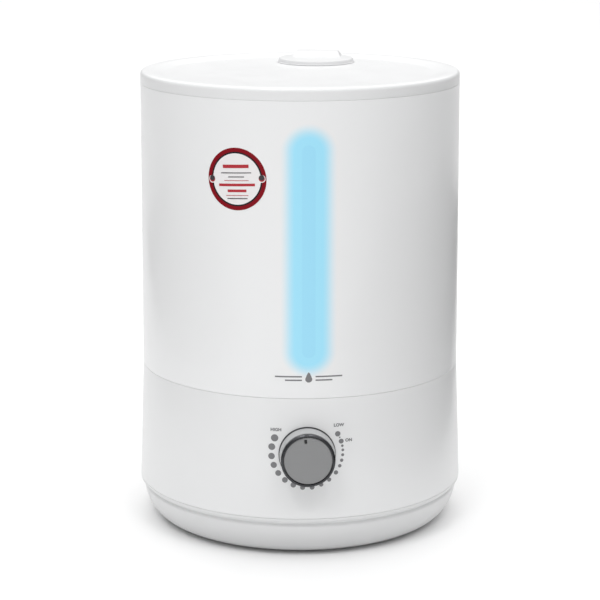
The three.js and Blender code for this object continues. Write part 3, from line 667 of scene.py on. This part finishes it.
class HUMIDIFIER_OT_tank(bpy.types.Operator):
    """Spins the tank, with the night light's glow painted on its front wall"""

    bl_idname = "humidifier.tank"
    bl_label = "Water tank"

    def execute(self, context):
        foot = sizes().body_radius / MM
        rim = sizes().rim_radius / MM
        tank = turned(
            "Water tank",
            [
                (0, TANK_UNDER),
                (90.4, TANK_UNDER, 0.8),
                (90.4, 89.6, 0.8),
                (92.8, 89.6, 0.8),
                (92.8, TANK_UNDER, 0.8),
                (foot - 2.4, TANK_UNDER, 0.8),
                (foot - 2.4, TANK_LOW, 0.3),
                (foot, TANK_LOW, 0.35),
                (rim, TANK_TOP, 0.18),
                (rim - 2.4, TANK_TOP, 0.5),
                (foot - 2.4, TANK_FLOOR, 3),
                (0, TANK_FLOOR),
            ],
        )
        carve(
            tank,
            [
                rod("Way", 22.4, 112, 118, OUTLET, FINE),
                rod("Way", 11.7, 112, 118, VALVE, FINE),
            ],
        )
        done(tank, tank_plastic_with_painted_glow(), "tank", "tank_white", "water_tank")
        chimney = pipe("Mist chimney", 18, 20, 91.0, 297.8, OUTLET, FINE, 0.6)
        flange = pipe("Flange", 19, 26.4, 116.9, 119.2, OUTLET, FINE, 0.4)
        weld(chimney, [flange])
        toward = math.atan2(COLLAR[1] - OUTLET[1], COLLAR[0] - OUTLET[0])
        window = block("Window", (40, 16, 12.2), (0, 0, 106.5), 2.0)
        window.location = (
            (OUTLET[0] + 20 * math.cos(toward)) * MM,
            (OUTLET[1] + 20 * math.sin(toward)) * MM,
            0,
        )
        window.rotation_euler = (0, 0, toward)
        settle(window)
        carve(chimney, [window])
        inner_white = plain("Inner white plastic", (0.78, 0.79, 0.8), 0.4)
        done(chimney, inner_white, "tank", "tank_white", "mist_chimney")
        seal = pipe("Chimney seal", 20.3, 22.1, 113.9, 116.3, OUTLET, FINE, 0.5)
        done(seal, silicone(), "tank", "silicone", "chimney_seal")
        return {"FINISHED"}


class HUMIDIFIER_OT_light_guide(bpy.types.Operator):
    """Makes the clear bar and its stem behind the tank's front wall"""

    bl_idname = "humidifier.light_guide"
    bl_label = "Light guide"

    def execute(self, context):
        low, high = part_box("light_guide")
        depth = (low[1] + high[1]) / 2 / MM
        bar = block(
            "Light guide",
            (2 * STRIP_HALF, 4, STRIP_HIGH - STRIP_LOW),
            (0, depth, (STRIP_LOW + STRIP_HIGH) / 2),
        )
        choose(bar)
        bpy.ops.object.mode_set(mode="EDIT")
        bpy.ops.mesh.select_mode(type="EDGE")
        bpy.ops.mesh.select_all(action="DESELECT")
        bpy.ops.object.mode_set(mode="OBJECT")
        for edge in bar.data.edges:
            a, b = (bar.data.vertices[i].co for i in edge.vertices)
            edge.select = abs(a.x - b.x) < 1e-6 and abs(a.z - b.z) < 1e-6
        bpy.ops.object.mode_set(mode="EDIT")
        bpy.ops.mesh.bevel(offset=(STRIP_HALF - 0.01) * MM, segments=12)
        bpy.ops.object.mode_set(mode="OBJECT")
        ease(bar, 0.3, 60)
        stem = rod("Stem", 1.8, 116.9, STRIP_LOW + 6, (0, depth), SMALL, 0.3)
        weld(bar, [stem])
        done(bar, clear_blue(), "tank", "clear_acrylic", "light_guide")
        return {"FINISHED"}


def round_outline(radius, steps=32):
    """A flat disc that faces the front."""
    deselect()
    bpy.ops.mesh.primitive_circle_add(
        vertices=steps, radius=radius * MM, fill_type="NGON", rotation=(math.pi / 2, 0, 0)
    )
    obj = bpy.context.object
    settle(obj)
    return obj


def drop_outline(height, width):
    """A water drop as a flat closed curve, facing the front, centred on the origin."""
    deselect()
    bpy.ops.mesh.primitive_circle_add(vertices=64, radius=width / 2 * MM, fill_type="NGON")
    obj = bpy.context.object
    ball = width / 2
    rise = height - ball
    for vertex in obj.data.vertices:
        x, y = vertex.co.x / MM, vertex.co.y / MM
        if y > 0:
            share = y / ball
            vertex.co.x = x * (1 - 0.45 * share) * MM
            vertex.co.y = share**1.15 * rise * MM
    obj.rotation_euler = (math.pi / 2, 0, 0)
    settle(obj)
    return obj


def bar_outline(width, height):
    """A flat bar that faces the front, cut up finely enough to bend round a wall."""
    deselect()
    bpy.ops.mesh.primitive_plane_add(size=1)
    obj = bpy.context.object
    obj.scale = (width * MM, height * MM, 1)
    settle(obj)
    obj.rotation_euler = (math.pi / 2, 0, 0)
    settle(obj)
    bpy.ops.object.mode_set(mode="EDIT")
    bpy.ops.mesh.select_all(action="SELECT")
    bpy.ops.mesh.subdivide(number_cuts=6)
    bpy.ops.object.mode_set(mode="OBJECT")
    return obj


def in_front(obj, x, z):
    """Moves a flat cut-out in front of the wall it will be laid on."""
    obj.location = (x * MM, -0.16, z * MM)
    settle(obj)
    return obj


class HUMIDIFIER_OT_mark(bpy.types.Operator):
    """Prints a plain drop between two lines under the night light"""

    bl_idname = "humidifier.mark"
    bl_label = "Drop mark"

    def execute(self, context):
        tank = bpy.data.objects["Water_tank"]
        flats = [in_front(drop_outline(6.8, 4.6), STRIP_SIDE, MARK_HEIGHT - 1.2)]
        for length, away, rise in ((17.5, 13.2, 0.4), (11.0, 9.95, -2.0)):
            for side in (-away, away):
                flats.append(in_front(bar_outline(length, 0.9), STRIP_SIDE + side, MARK_HEIGHT + rise))
        mark = wrap(join_up("Drop mark", flats), tank, 0.02, 0.08)
        done(mark, ink(), "tank", "knob_face")
        return {"FINISHED"}


class HUMIDIFIER_OT_label(bpy.types.Operator):
    """Lays the round red-ringed label on the tank"""

    bl_idname = "humidifier.label"
    bl_label = "Round label"

    def execute(self, context):
        tank = bpy.data.objects["Water_tank"]
        deselect()
        bpy.ops.mesh.primitive_circle_add(vertices=FINE, radius=LABEL_EDGE * MM, fill_type="NGON")
        disc = bpy.context.object
        disc.name = "Round label"
        bpy.ops.object.mode_set(mode="EDIT")
        bpy.ops.mesh.select_all(action="SELECT")
        for radius in range(19, 0, -1):
            bpy.ops.mesh.inset(thickness=(LABEL_EDGE / 20) * MM)
        bpy.ops.object.mode_set(mode="OBJECT")
        flat = disc.data.uv_layers.new(name="label")
        for loop in disc.data.loops:
            co = disc.data.vertices[loop.vertex_index].co
            flat.data[loop.index].uv = (co.x / (LABEL_EDGE * MM), co.y / (LABEL_EDGE * MM))
        disc.rotation_euler = (math.pi / 2, 0, 0)
        settle(disc)
        in_front(disc, 0, LABEL_HEIGHT)
        wrap(disc, tank, 0.03, 0.12)
        # Each print's colour, lift, bars of (width, height, rise), and its badges' rise and radius.
        layers = (
            ("Label white print", (236, 234, 234), 0.16, [], 0.0, 2.5),
            (
                "Label red print",
                (178, 30, 44),
                0.2,
                [(17, 0.35, -1.0), (15.5, 0.35, -10.6), (25, 1.7, -3.8), (13, 1.7, -7.6), (18, 2.2, 8.2)],
                0.1,
                2.0,
            ),
            (
                "Label dark print",
                (52, 48, 52),
                0.24,
                [(21, 0.55, 4.0), (11, 0.55, 1.4), (14, 0.55, -12.6)],
                0.7,
                1.8,
            ),
        )
        pieces = [disc]
        lean = math.radians(3.4)
        for name, color, lift, bars, rise, radius in layers:
            flats = [(bar_outline(width, height), 0, z) for width, height, z in bars]
            flats += [(round_outline(radius), side, rise) for side in (-17.2, 17.2)]
            prints = []
            for flat, x, z in flats:
                flat.rotation_euler = (0, -lean, 0)
                settle(flat)
                across = x * math.cos(lean) - z * math.sin(lean)
                up = x * math.sin(lean) + z * math.cos(lean)
                prints.append(in_front(flat, across, LABEL_HEIGHT + up))
            piece = wrap(join_up(name, prints), tank, lift, 0.04)
            done(piece, plain(name, linear(color), 0.4), "tank", "sticker")
            pieces.append(piece)
        for obj in pieces:
            obj.rotation_euler = (0, 0, -math.radians(LABEL_BEARING))
            settle(obj)
        done(disc, label_finish(), "tank", "sticker", "round_sticker")
        return {"FINISHED"}


# ---------------------------------------------------------------- base


class HUMIDIFIER_OT_base(bpy.types.Operator):
    """Spins the base shell and cuts the dial hole and the power recess"""

    bl_idname = "humidifier.base"
    bl_label = "Base shell"

    def execute(self, context):
        top = sizes().body_radius / MM
        foot = sizes().foot_radius / MM
        shell = turned(
            "Base shell",
            [
                (top - 2.4, 108),
                (top - 2.4, 98.7 + 3),
                (top - 6.4, 98.7 + 3, 0.3),
                (top - 6.4, 99.3, 0.3),
                (top - 2.4, 96.3),
                (foot - 2.4, SHELL_LOW, 0.2),
                (foot, SHELL_LOW, 0.2),
                (top, SHELL_TOP, 0.4),
                (top - 2.4, SHELL_TOP, 0.5),
            ],
        )
        posts = []
        for bearing in SCREW_BEARINGS:
            posts.append(rod("Post", 4.5, 13.4, 69.9, bearing_place(SCREW_CIRCLE, bearing), SMALL, 0.3))
            x, y = bearing_place(101.5, bearing)
            rib = block("Rib", (3, 18, 36), (0, 0, 51.5))
            rib.location = (x * MM, y * MM, 0)
            rib.rotation_euler = (0, 0, -math.radians(bearing))
            settle(rib)
            posts.append(rib)
        posts.append(block("Recess box", (24, 9.0, 18), (0, 105.4, 53.4)))
        weld(shell, posts)
        holes = [
            block("Recess", (20, 14, 14), (0, 109.9, 53.4), 1.2),
            face_back(rod("Way", 5.7, -8, 8), 102.9, 53.4),
            face_front(rod("Way", 4.2, -8, 8), 111.1, DIAL_HEIGHT),
            block("Notch", (22, 9, 13), (0, -102.8, 95.2)),
        ]
        for bearing in SCREW_BEARINGS:
            holes.append(rod("Way", 1.7, 12.4, 29.4, bearing_place(SCREW_CIRCLE, bearing), 24))
        carve(shell, holes)
        done(shell, white_gloss(), "base", "shell_white", "base_shell")
        return {"FINISHED"}


class HUMIDIFIER_OT_pan(bpy.types.Operator):
    """Spins the pan with its rounded lip and bowl, and cuts its slots, screw holes and foot pockets"""

    bl_idname = "humidifier.pan"
    bl_label = "Base pan"

    def execute(self, context):
        edge = sizes().foot_radius / MM
        bowl, reach, power = edge - 2.5, 15.3, 1.74
        curve = []
        for i in range(21):
            turn = math.pi / 2 * i / 20
            radius = bowl - reach + reach * math.sin(turn) ** (2 / power)
            height = 23.0 - (23.0 - PAN_LOW) * math.cos(turn) ** (2 / power)
            curve.append((radius, height))
        inner = [(r - 2.3, max(z, PAN_LOW) + 2.3) for r, z in curve[::2]]
        pan = turned(
            "Base pan",
            [
                (0, PAN_LOW),
                *curve,
                (bowl - 0.9, 24.9, 0.9),
                (edge - 1.4, 25.9, 0.9),
                (edge, 27.1, 1.2),
                (edge, PAN_TOP, 0.3),
                (edge - 2.7, PAN_TOP, 0.2),
                (edge - 2.7, 32, 0.4),
                (edge - 4.7, 32, 0.4),
                *reversed(inner),
                (0, 4.1),
            ],
        )
        posts, holes = [], []
        for bearing in SCREW_BEARINGS:
            place = bearing_place(SCREW_CIRCLE, bearing)
            posts.append(rod("Boss", 5, 3.6, 13.1, place, SMALL))
            holes.append(rod("Way", 3.3, 0.5, 7.6, place, SMALL))
            holes.append(rod("Way", 1.9, 0, 15, place, 24))
            holes.append(rod("Pocket", 8.3, 0, 2.5, bearing_place(78, bearing), SMALL))
        for side in (-1, 1):
            place = (COLLAR[0] + side * 25, COLLAR[1] + side * 25)
            posts.append(rod("Boss", 3.6, 3.6, 11.8, place, 32))
            holes.append(rod("Way", 1.7, 5.1, 13, place, 24))
        low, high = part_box("driver_board")
        middle = ((low[0] + high[0]) / 2 / MM, (low[1] + high[1]) / 2 / MM)
        for side in (-1, 1):
            place = (middle[0] + side * 28, middle[1] + side * 19)
            posts.append(rod("Boss", 3.2, 3.6, 13.8, place, 32))
            holes.append(rod("Way", 1.7, 5.1, 15, place, 24))
        for row in range(-3, 4):
            length = 2 * math.sqrt(625 - (7 * row) ** 2)
            holes.append(block("Slot", (length, 3, 6), (COLLAR[0], COLLAR[1] + 7 * row, 3)))
        weld(pan, posts)
        carve(pan, holes)
        done(pan, pan_white_with_painted_shade(), "base", "shell_white", "base_pan")
        for number, bearing in enumerate(SCREW_BEARINGS, 1):
            foot = turned(
                f"Foot {number}",
                [(0, 0.0), (6.2, 0.0, 0.3), (6.6, 0.35, 0.2), (8, 0.35, 0.5), (8, 2.2, 0.3), (0, 2.2)],
                SMALL,
                bearing_place(78, bearing),
            )
            done(foot, rubber(), "base", "foot_rubber", f"foot_{number}")
        return {"FINISHED"}


class HUMIDIFIER_OT_basin(bpy.types.Operator):
    """Spins the water basin with its posts, the well cup, the air collar and what stands in them"""

    bl_idname = "humidifier.basin"
    bl_label = "Water basin"

    def execute(self, context):
        top = sizes().body_radius / MM
        basin = turned(
            "Water basin",
            [
                (0, 83.8),
                (96, 83.8, 2),
                (96, 104.0, 0.6),
                (top - 2.9, 104.0, 0.4),
                (top - 2.9, BASIN_RIM, 0.5),
                (93.6, BASIN_RIM, 1.2),
                (93.6, BASIN_FLOOR, 3),
                (0, BASIN_FLOOR),
            ],
        )
        weld(
            basin,
            [
                rod("Push post", 3, 85.4, 96.9, VALVE, SMALL, 0.8),
                rod("Float post", 2.8, 85.4, 104.0 - 0.1, FLOAT_POST, SMALL, 0.4),
            ],
        )
        carve(
            basin,
            [
                rod("Way", 19, 82, 88, OUTLET, FINE),
                rod("Way", 19.3, 82, 88, COLLAR, FINE),
                rod("Way", 3.3, 102, 108, LAMP, SMALL),
            ],
        )
        done(basin, white_gloss(), "base", "shell_white", "water_basin")
        cup = turned(
            "Well cup",
            [
                (8.5, 80),
                (8.5, 78.8, 0.2),
                (13.3, 78.8, 0.2),
                (13.3, 73.8, 0.3),
                (19.5, 73.8, 0.3),
                (19.5, 78.8),
                (21.4, 78.8, 0.5),
                (21.4, 81.7),
                (24.4, 81.7, 0.3),
                (24.4, 83.5, 0.3),
                (19, 83.5, 0.3),
                (19, 81.4, 0.8),
                (8.5, 81.4, 0.3),
            ],
            FINE,
            OUTLET,
        )
        holes = []
        for bearing in (30, 150, 270):
            x, y = bearing_place(16.2, bearing)
            holes.append(rod("Way", 1.7, 72, 78.8, (OUTLET[0] + x, OUTLET[1] + y), 24))
        carve(cup, holes)
        done(cup, white_gloss(), "base", "shell_white", "well_cup")
        collar = turned(
            "Air collar",
            [
                (17, 90),
                (17, 83.8, 0.4),
                (19, 83.8, 0.2),
                (19, 86.7),
                (23, 86.7, 0.2),
                (23, 88.4, 0.6),
                (19, 88.4, 0.6),
                (19, 103.4, 0.7),
                (17, 103.4, 0.7),
            ],
            FINE,
            COLLAR,
        )
        done(collar, white_gloss(), "base", "shell_white", "air_collar")
        grey = plain("Grey moulded plastic", (0.30, 0.315, 0.325), 0.5, grain=200)
        float_ring = turned(
            "Level float",
            [(3.3, 91), (3.3, 86.9, 0.3), (11, 86.9, 1.5), (11, 95.9, 1.5), (3.3, 95.9, 0.3)],
            FINE,
            FLOAT_POST,
        )
        done(float_ring, grey, "float", "grey_plastic", "level_float")
        clip = rod("Float clip", 5.2, 104.2, 106.0, FLOAT_POST, SMALL, 0.5)
        done(clip, grey, "base", "grey_plastic", "float_clip")
        lens = turned(
            "Light lens",
            [(0, 102.5), (3, 102.5, 0.2), (3, 106.4, 0.3), (2.0, 107.4, 1.5), (0, 107.8)],
            SMALL,
            LAMP,
        )
        done(lens, clear_blue(), "base", "clear_acrylic", "light_lens")
        return {"FINISHED"}


# ---------------------------------------------------------------- dial

DIAL_WALL = 111.19  # the wall's distance from the body's axis behind the dial

# Printed dots: bearing clockwise from the top, and diameter, on one circle round the dial.
DOT_CIRCLE, DOT_CENTRE = 23.5, 74.15
DOTS = (
    (295, 4.8),
    (279.5, 4.5),
    (264, 4.3),
    (249, 4.1),
    (234, 3.9),
    (218.7, 3.75),
    (203, 3.6),
    (187.5, 3.3),
    (172.3, 3.2),
    (157, 2.8),
    (142, 2.75),
    (126.3, 2.85),
    (114, 2.3),
    (104.5, 2.25),
    (95.5, 2.0),
    (87.4, 1.85),
    (80.4, 1.7),
    (72.5, 3.3),
    (65.6, 1.1),
    (58.7, 3.6),
)
LEGENDS = (("HIGH", -20.4, 16.6), ("LOW", 20.8, 19.2), ("ON", 27.4, 8.6))


class HUMIDIFIER_OT_dial(bpy.types.Operator):
    """Spins the knob, its dark ring and its slotted face"""

    bl_idname = "humidifier.dial"
    bl_label = "Dial"

    def execute(self, context):
        wide = sizes().knob_radius / MM
        nose = wide - 0.9
        knob = turned(
            "Dial knob",
            [
                (0, 8.6),
                (nose - 2, 8.6, 0.8),
                (wide - 2, 0.8, 0.2),
                (wide - 0.25, 0.8, 0.4),
                (nose, 10.6, 0.3),
                (0, 10.6),
            ],
            FINE,
        )
        socket = pipe("Socket", 3.3, 5, 5.5, 8.8, (0, 0), SMALL, 0.2)
        weld(knob, [socket])
        face_front(knob, DIAL_WALL, DIAL_HEIGHT)
        knob_silver = plain("Satin silver", tuple(colours().knob), 0.36, metallic=0.25, grain=500)
        done(knob, knob_silver, "dial", "knob_silver", "dial_knob")
        ring = turned(
            "Dial ring",
            [
                (nose - 1.5, 12),
                (nose - 1.5, 10.9, 0.1),
                (nose + 0.1, 10.9, 0.2),
                (nose + 0.1, 13.6, 0.35),
                (nose - 1.1, 14.45, 0.35),
                (nose - 1.5, 14.5, 0.2),
            ],
            FINE,
        )
        face_front(ring, DIAL_WALL, DIAL_HEIGHT)
        dark = plain("Black chrome", (0.055, 0.056, 0.06), 0.2, metallic=0.85, grain=100)
        done(ring, dark, "dial", "dark_chrome", "dial_ring")
        plate = turned(
            "Dial face",
            [
                (0, 10.9),
                (nose - 1.8, 10.9, 0.2),
                (nose - 1.8, 13.8, 0.4),
                (nose - 2.7, 13.9, 0.3),
                (0, 13.7),
            ],
            FINE,
        )
        slot = block("Slot", (1.9, 2.9, 2.2), (0, 13.2, 14.2), 0.6)
        slot.rotation_euler = (0, 0, math.radians(7))
        settle(slot)
        carve(plate, [slot])
        face_front(plate, DIAL_WALL, DIAL_HEIGHT)
        face = brushed("Brushed grey", (0.26, 0.262, 0.265), 0.42, 0.55)
        done(plate, face, "dial", "knob_face", "dial_face")
        pointer = block("Dial pointer", (1.7, 2.7, 0.5), (0, 13.2, 13.35), 0.2)
        pointer.rotation_euler = (0, 0, math.radians(7))
        settle(pointer)
        face_front(pointer, DIAL_WALL, DIAL_HEIGHT)
        done(pointer, plain("Black plastic", (0.012, 0.012, 0.014), 0.5), "dial", "black_plastic")
        # Painted shadow: a dark ring laid on the wall round the knob's foot, drawn as a dark outline
        # where the knob meets the wall.
        skirt = round_outline(18.8, FINE)
        skirt.name = "Dial foot shadow ring"
        bpy.ops.object.mode_set(mode="EDIT")
        bpy.ops.mesh.select_mode(type="FACE")
        bpy.ops.mesh.select_all(action="SELECT")
        bpy.ops.mesh.inset(thickness=2.0 * MM)
        bpy.ops.mesh.delete(type="ONLY_FACE")
        bpy.ops.object.mode_set(mode="OBJECT")
        in_front(skirt, 0, DIAL_HEIGHT)
        wrap(skirt, bpy.data.objects["Base_shell"], 0.05, 0.5)
        done(skirt, plain("Painted shadow grey", (0.05, 0.05, 0.055), 0.5), "base", "black_plastic")
        return {"FINISHED"}


class HUMIDIFIER_OT_dial_print(bpy.types.Operator):
    """Prints the growing dots and the three legends round the dial"""

    bl_idname = "humidifier.dial_print"
    bl_label = "Dial print"

    def execute(self, context):
        wall = bpy.data.objects["Base_shell"]
        flats = []
        for bearing, size in DOTS:
            x, z = bearing_place(DOT_CIRCLE, bearing)
            flats.append(in_front(round_outline(size / 2), x, DOT_CENTRE + z))
        dots = wrap(join_up("Dial dots", flats), wall, 0.02, 0.06)
        done(dots, ink(), "base", "knob_face")
        words = []
        for text, x, z in LEGENDS:
            deselect()
            bpy.ops.object.text_add(rotation=(math.pi / 2, 0, 0))
            word = bpy.context.object
            word.data.body = text
            word.data.align_x = "CENTER"
            word.data.align_y = "CENTER"
            word.data.size = 2.8 * MM
            word.data.space_character = 1.06
            word.data.offset = 0.14 * MM
            bpy.ops.object.convert(target="MESH")
            settle(word)
            words.append(in_front(word, x, DIAL_HEIGHT + z))
        legends = wrap(join_up("Dial legends", words), wall, 0.02, 0.05)
        done(legends, ink(), "base", "knob_face")
        return {"FINISHED"}


# ---------------------------------------------------------------- inside


def silicone():
    return plain("Pale silicone", (0.72, 0.73, 0.74), 0.55, grain=150)


def rubber():
    return plain("Dark rubber", (0.035, 0.036, 0.038), 0.75, grain=300)


def clear_blue():
    if "acrylic" not in FINISHES:
        f = Finish("Clear acrylic")
        FINISHES["acrylic"] = f
        f.color("Base Color", (0.62, 0.86, 0.95))
        f.shader.inputs["Transmission Weight"].default_value = 0.7
        f.shader.inputs["IOR"].default_value = 1.49
        f.rough(0.05, 0.12, 120)
    return FINISHES["acrylic"].material


def ink():
    return plain("Grey print", tuple(colours().printing), 0.5, grain=300)


class HUMIDIFIER_OT_inside(bpy.types.Operator):
    """Finishes the inner parts: merges, smooths and paints each one by its slot"""

    bl_idname = "humidifier.inside"
    bl_label = "Inner parts"

    def execute(self, context):
        looks = {
            "shell_white": white_gloss(),
            "tank_white": white_gloss(),
            "clear_acrylic": clear_blue(),
            "silicone": silicone(),
            "foot_rubber": rubber(),
            "black_plastic": plain("Black plastic", (0.012, 0.012, 0.014), 0.5),
            "grey_plastic": plain("Grey moulded plastic", (0.30, 0.315, 0.325), 0.5, grain=200),
            "steel": plain("Plated steel", (0.58, 0.585, 0.59), 0.28, metallic=1.0),
            "brass": plain("Plated brass", (0.72, 0.54, 0.26), 0.25, metallic=1.0),
            "aluminium": plain("Aluminium", (0.74, 0.75, 0.76), 0.35, metallic=1.0),
            "circuit_board": plain("Circuit board", (0.02, 0.17, 0.07), 0.35),
            "ferrite": plain("Ferrite", (0.05, 0.05, 0.055), 0.6),
            "piezo_ceramic": plain("Piezo ceramic", (0.78, 0.70, 0.48), 0.3),
        }
        bodies = {n: b for b, names in frame["record"]["behaviour"]["bodies"].items() for n in names}
        for part in frame["record"]["subparts"]:
            name, slot = part["node"], part["material_slot"]
            node = frame["nodes"][name]
            if node.hide_render:
                continue
            copy = bpy.data.objects.new(name.replace("_", " ").capitalize(), node.data.copy())
            bpy.context.scene.collection.objects.link(copy)
            choose(copy)
            bpy.ops.object.mode_set(mode="EDIT")
            bpy.ops.mesh.select_all(action="SELECT")
            bpy.ops.mesh.remove_doubles(threshold=0.00001)
            bpy.ops.mesh.tris_convert_to_quads(
                face_threshold=math.radians(1), shape_threshold=math.radians(60)
            )
            bpy.ops.object.mode_set(mode="OBJECT")
            bpy.ops.object.shade_smooth_by_angle(angle=math.radians(32))
            done(copy, looks[slot], bodies[name], slot, name)
        return {"FINISHED"}


# ---------------------------------------------------------------- stage


def softbox(name, place, target, size, power):
    """A rectangular lamp that faces its target."""
    deselect()
    bpy.ops.object.light_add(type="AREA", location=place)
    lamp = bpy.context.object
    lamp.name = name
    lamp.data.shape = "RECTANGLE"
    lamp.data.size, lamp.data.size_y = size
    lamp.data.energy = power
    aim = Vector(target) - Vector(place)
    lamp.rotation_euler = aim.to_track_quat("-Z", "Y").to_euler()
    return lamp


def sheet(name, shade, gloss, place, size, turn=0):
    """A flat matt sheet lying on the table, its size and place in metres."""
    deselect()
    bpy.ops.mesh.primitive_plane_add(size=1, location=place, rotation=(0, 0, math.radians(turn)))
    obj = bpy.context.object
    obj.name = name
    obj.scale = (*size, 1)
    settle(obj)
    f = Finish(name)
    f.color("Base Color", (shade, shade, shade))
    f.rough(*gloss, 8)
    obj.data.materials.append(f.material)
    return obj


class HUMIDIFIER_OT_stage(bpy.types.Operator):
    """Sets the pale floor, the soft lights and the camera"""

    bl_idname = "humidifier.stage"
    bl_label = "Stage"

    def execute(self, context):
        scene = context.scene
        backdrop = [
            sheet("Floor", 0.93, (0.7, 0.8), (0, 0, 0), (16, 16)),
            sheet("Dark card", 0.02, (0.8, 0.9), (0.963, 0.177, 0.002), (1.3, 1.85), -10.9),
            sheet("Dark card", 0.02, (0.8, 0.9), (-1.079, 0.119, 0.002), (1.1, 1.45), 8.5),
            softbox("Ceiling light", (0, 2.4, 3.0), (0, 2.4, 0), (6, 11), 202),
            softbox("Left light", (-0.58, -1.17, 1.9), (0, 0, 0.15), (0.55, 0.2), 6),
            softbox("Right light", (0.45, -1.15, 1.9), (0, 0, 0.15), (0.55, 0.2), 3.5),
        ]
        world = bpy.data.worlds.new("Studio")
        scene.world = world
        world.use_nodes = True
        sky = world.node_tree.nodes["Background"]
        sky.inputs["Color"].default_value = (1, 1, 1, 1)
        sky.inputs["Strength"].default_value = 0.51
        turn = math.radians(2.45)
        reach = sizes().camera_distance
        bpy.ops.object.camera_add(
            location=(-reach * math.sin(turn), -reach * math.cos(turn), 0.4696),
            rotation=(math.radians(90 - 13.0746), 0, -turn),
        )
        camera = context.object
        camera.data.lens = 120.62
        camera.data.sensor_width = 36
        camera.data.clip_end = 50
        scene.camera = camera
        scene.view_settings.view_transform = "Standard"
        return {"FINISHED"}


class HUMIDIFIER_PT_panel(bpy.types.Panel):
    """Lists the sizes, the colours and the steps"""

    bl_label = "Humidifier"
    bl_idname = "HUMIDIFIER_PT_panel"
    bl_space_type = "VIEW_3D"
    bl_region_type = "UI"
    bl_category = "Humidifier"

    def draw(self, context):
        layout = self.layout
        for group in (context.scene.humidifier_sizes, context.scene.humidifier_colours):
            for key in group.__annotations__:
                layout.prop(group, key)
        for step in STEPS:
            layout.operator(step.bl_idname)


STEPS = (
    HUMIDIFIER_OT_lid,
    HUMIDIFIER_OT_nozzle,
    HUMIDIFIER_OT_tank,
    HUMIDIFIER_OT_light_guide,
    HUMIDIFIER_OT_mark,
    HUMIDIFIER_OT_label,
    HUMIDIFIER_OT_base,
    HUMIDIFIER_OT_pan,
    HUMIDIFIER_OT_basin,
    HUMIDIFIER_OT_dial,
    HUMIDIFIER_OT_dial_print,
    HUMIDIFIER_OT_inside,
    HUMIDIFIER_OT_stage,
)
CLASSES = (HUMIDIFIER_PG_sizes, HUMIDIFIER_PG_colours, *STEPS, HUMIDIFIER_PT_panel)


def register():
    for cls in CLASSES:
        bpy.utils.register_class(cls)
    bpy.types.Scene.humidifier_sizes = PointerProperty(type=HUMIDIFIER_PG_sizes)
    bpy.types.Scene.humidifier_colours = PointerProperty(type=HUMIDIFIER_PG_colours)


def unregister():
    del bpy.types.Scene.humidifier_colours
    del bpy.types.Scene.humidifier_sizes
    for cls in reversed(CLASSES):
        bpy.utils.unregister_class(cls)


def main():
    register()
    for step in STEPS:
        group, name = step.bl_idname.split(".")
        result = getattr(getattr(bpy.ops, group), name)()
        if "FINISHED" not in result:
            raise RuntimeError(f"{step.bl_label} didn't finish")


if __name__ == "__main__":
    main()
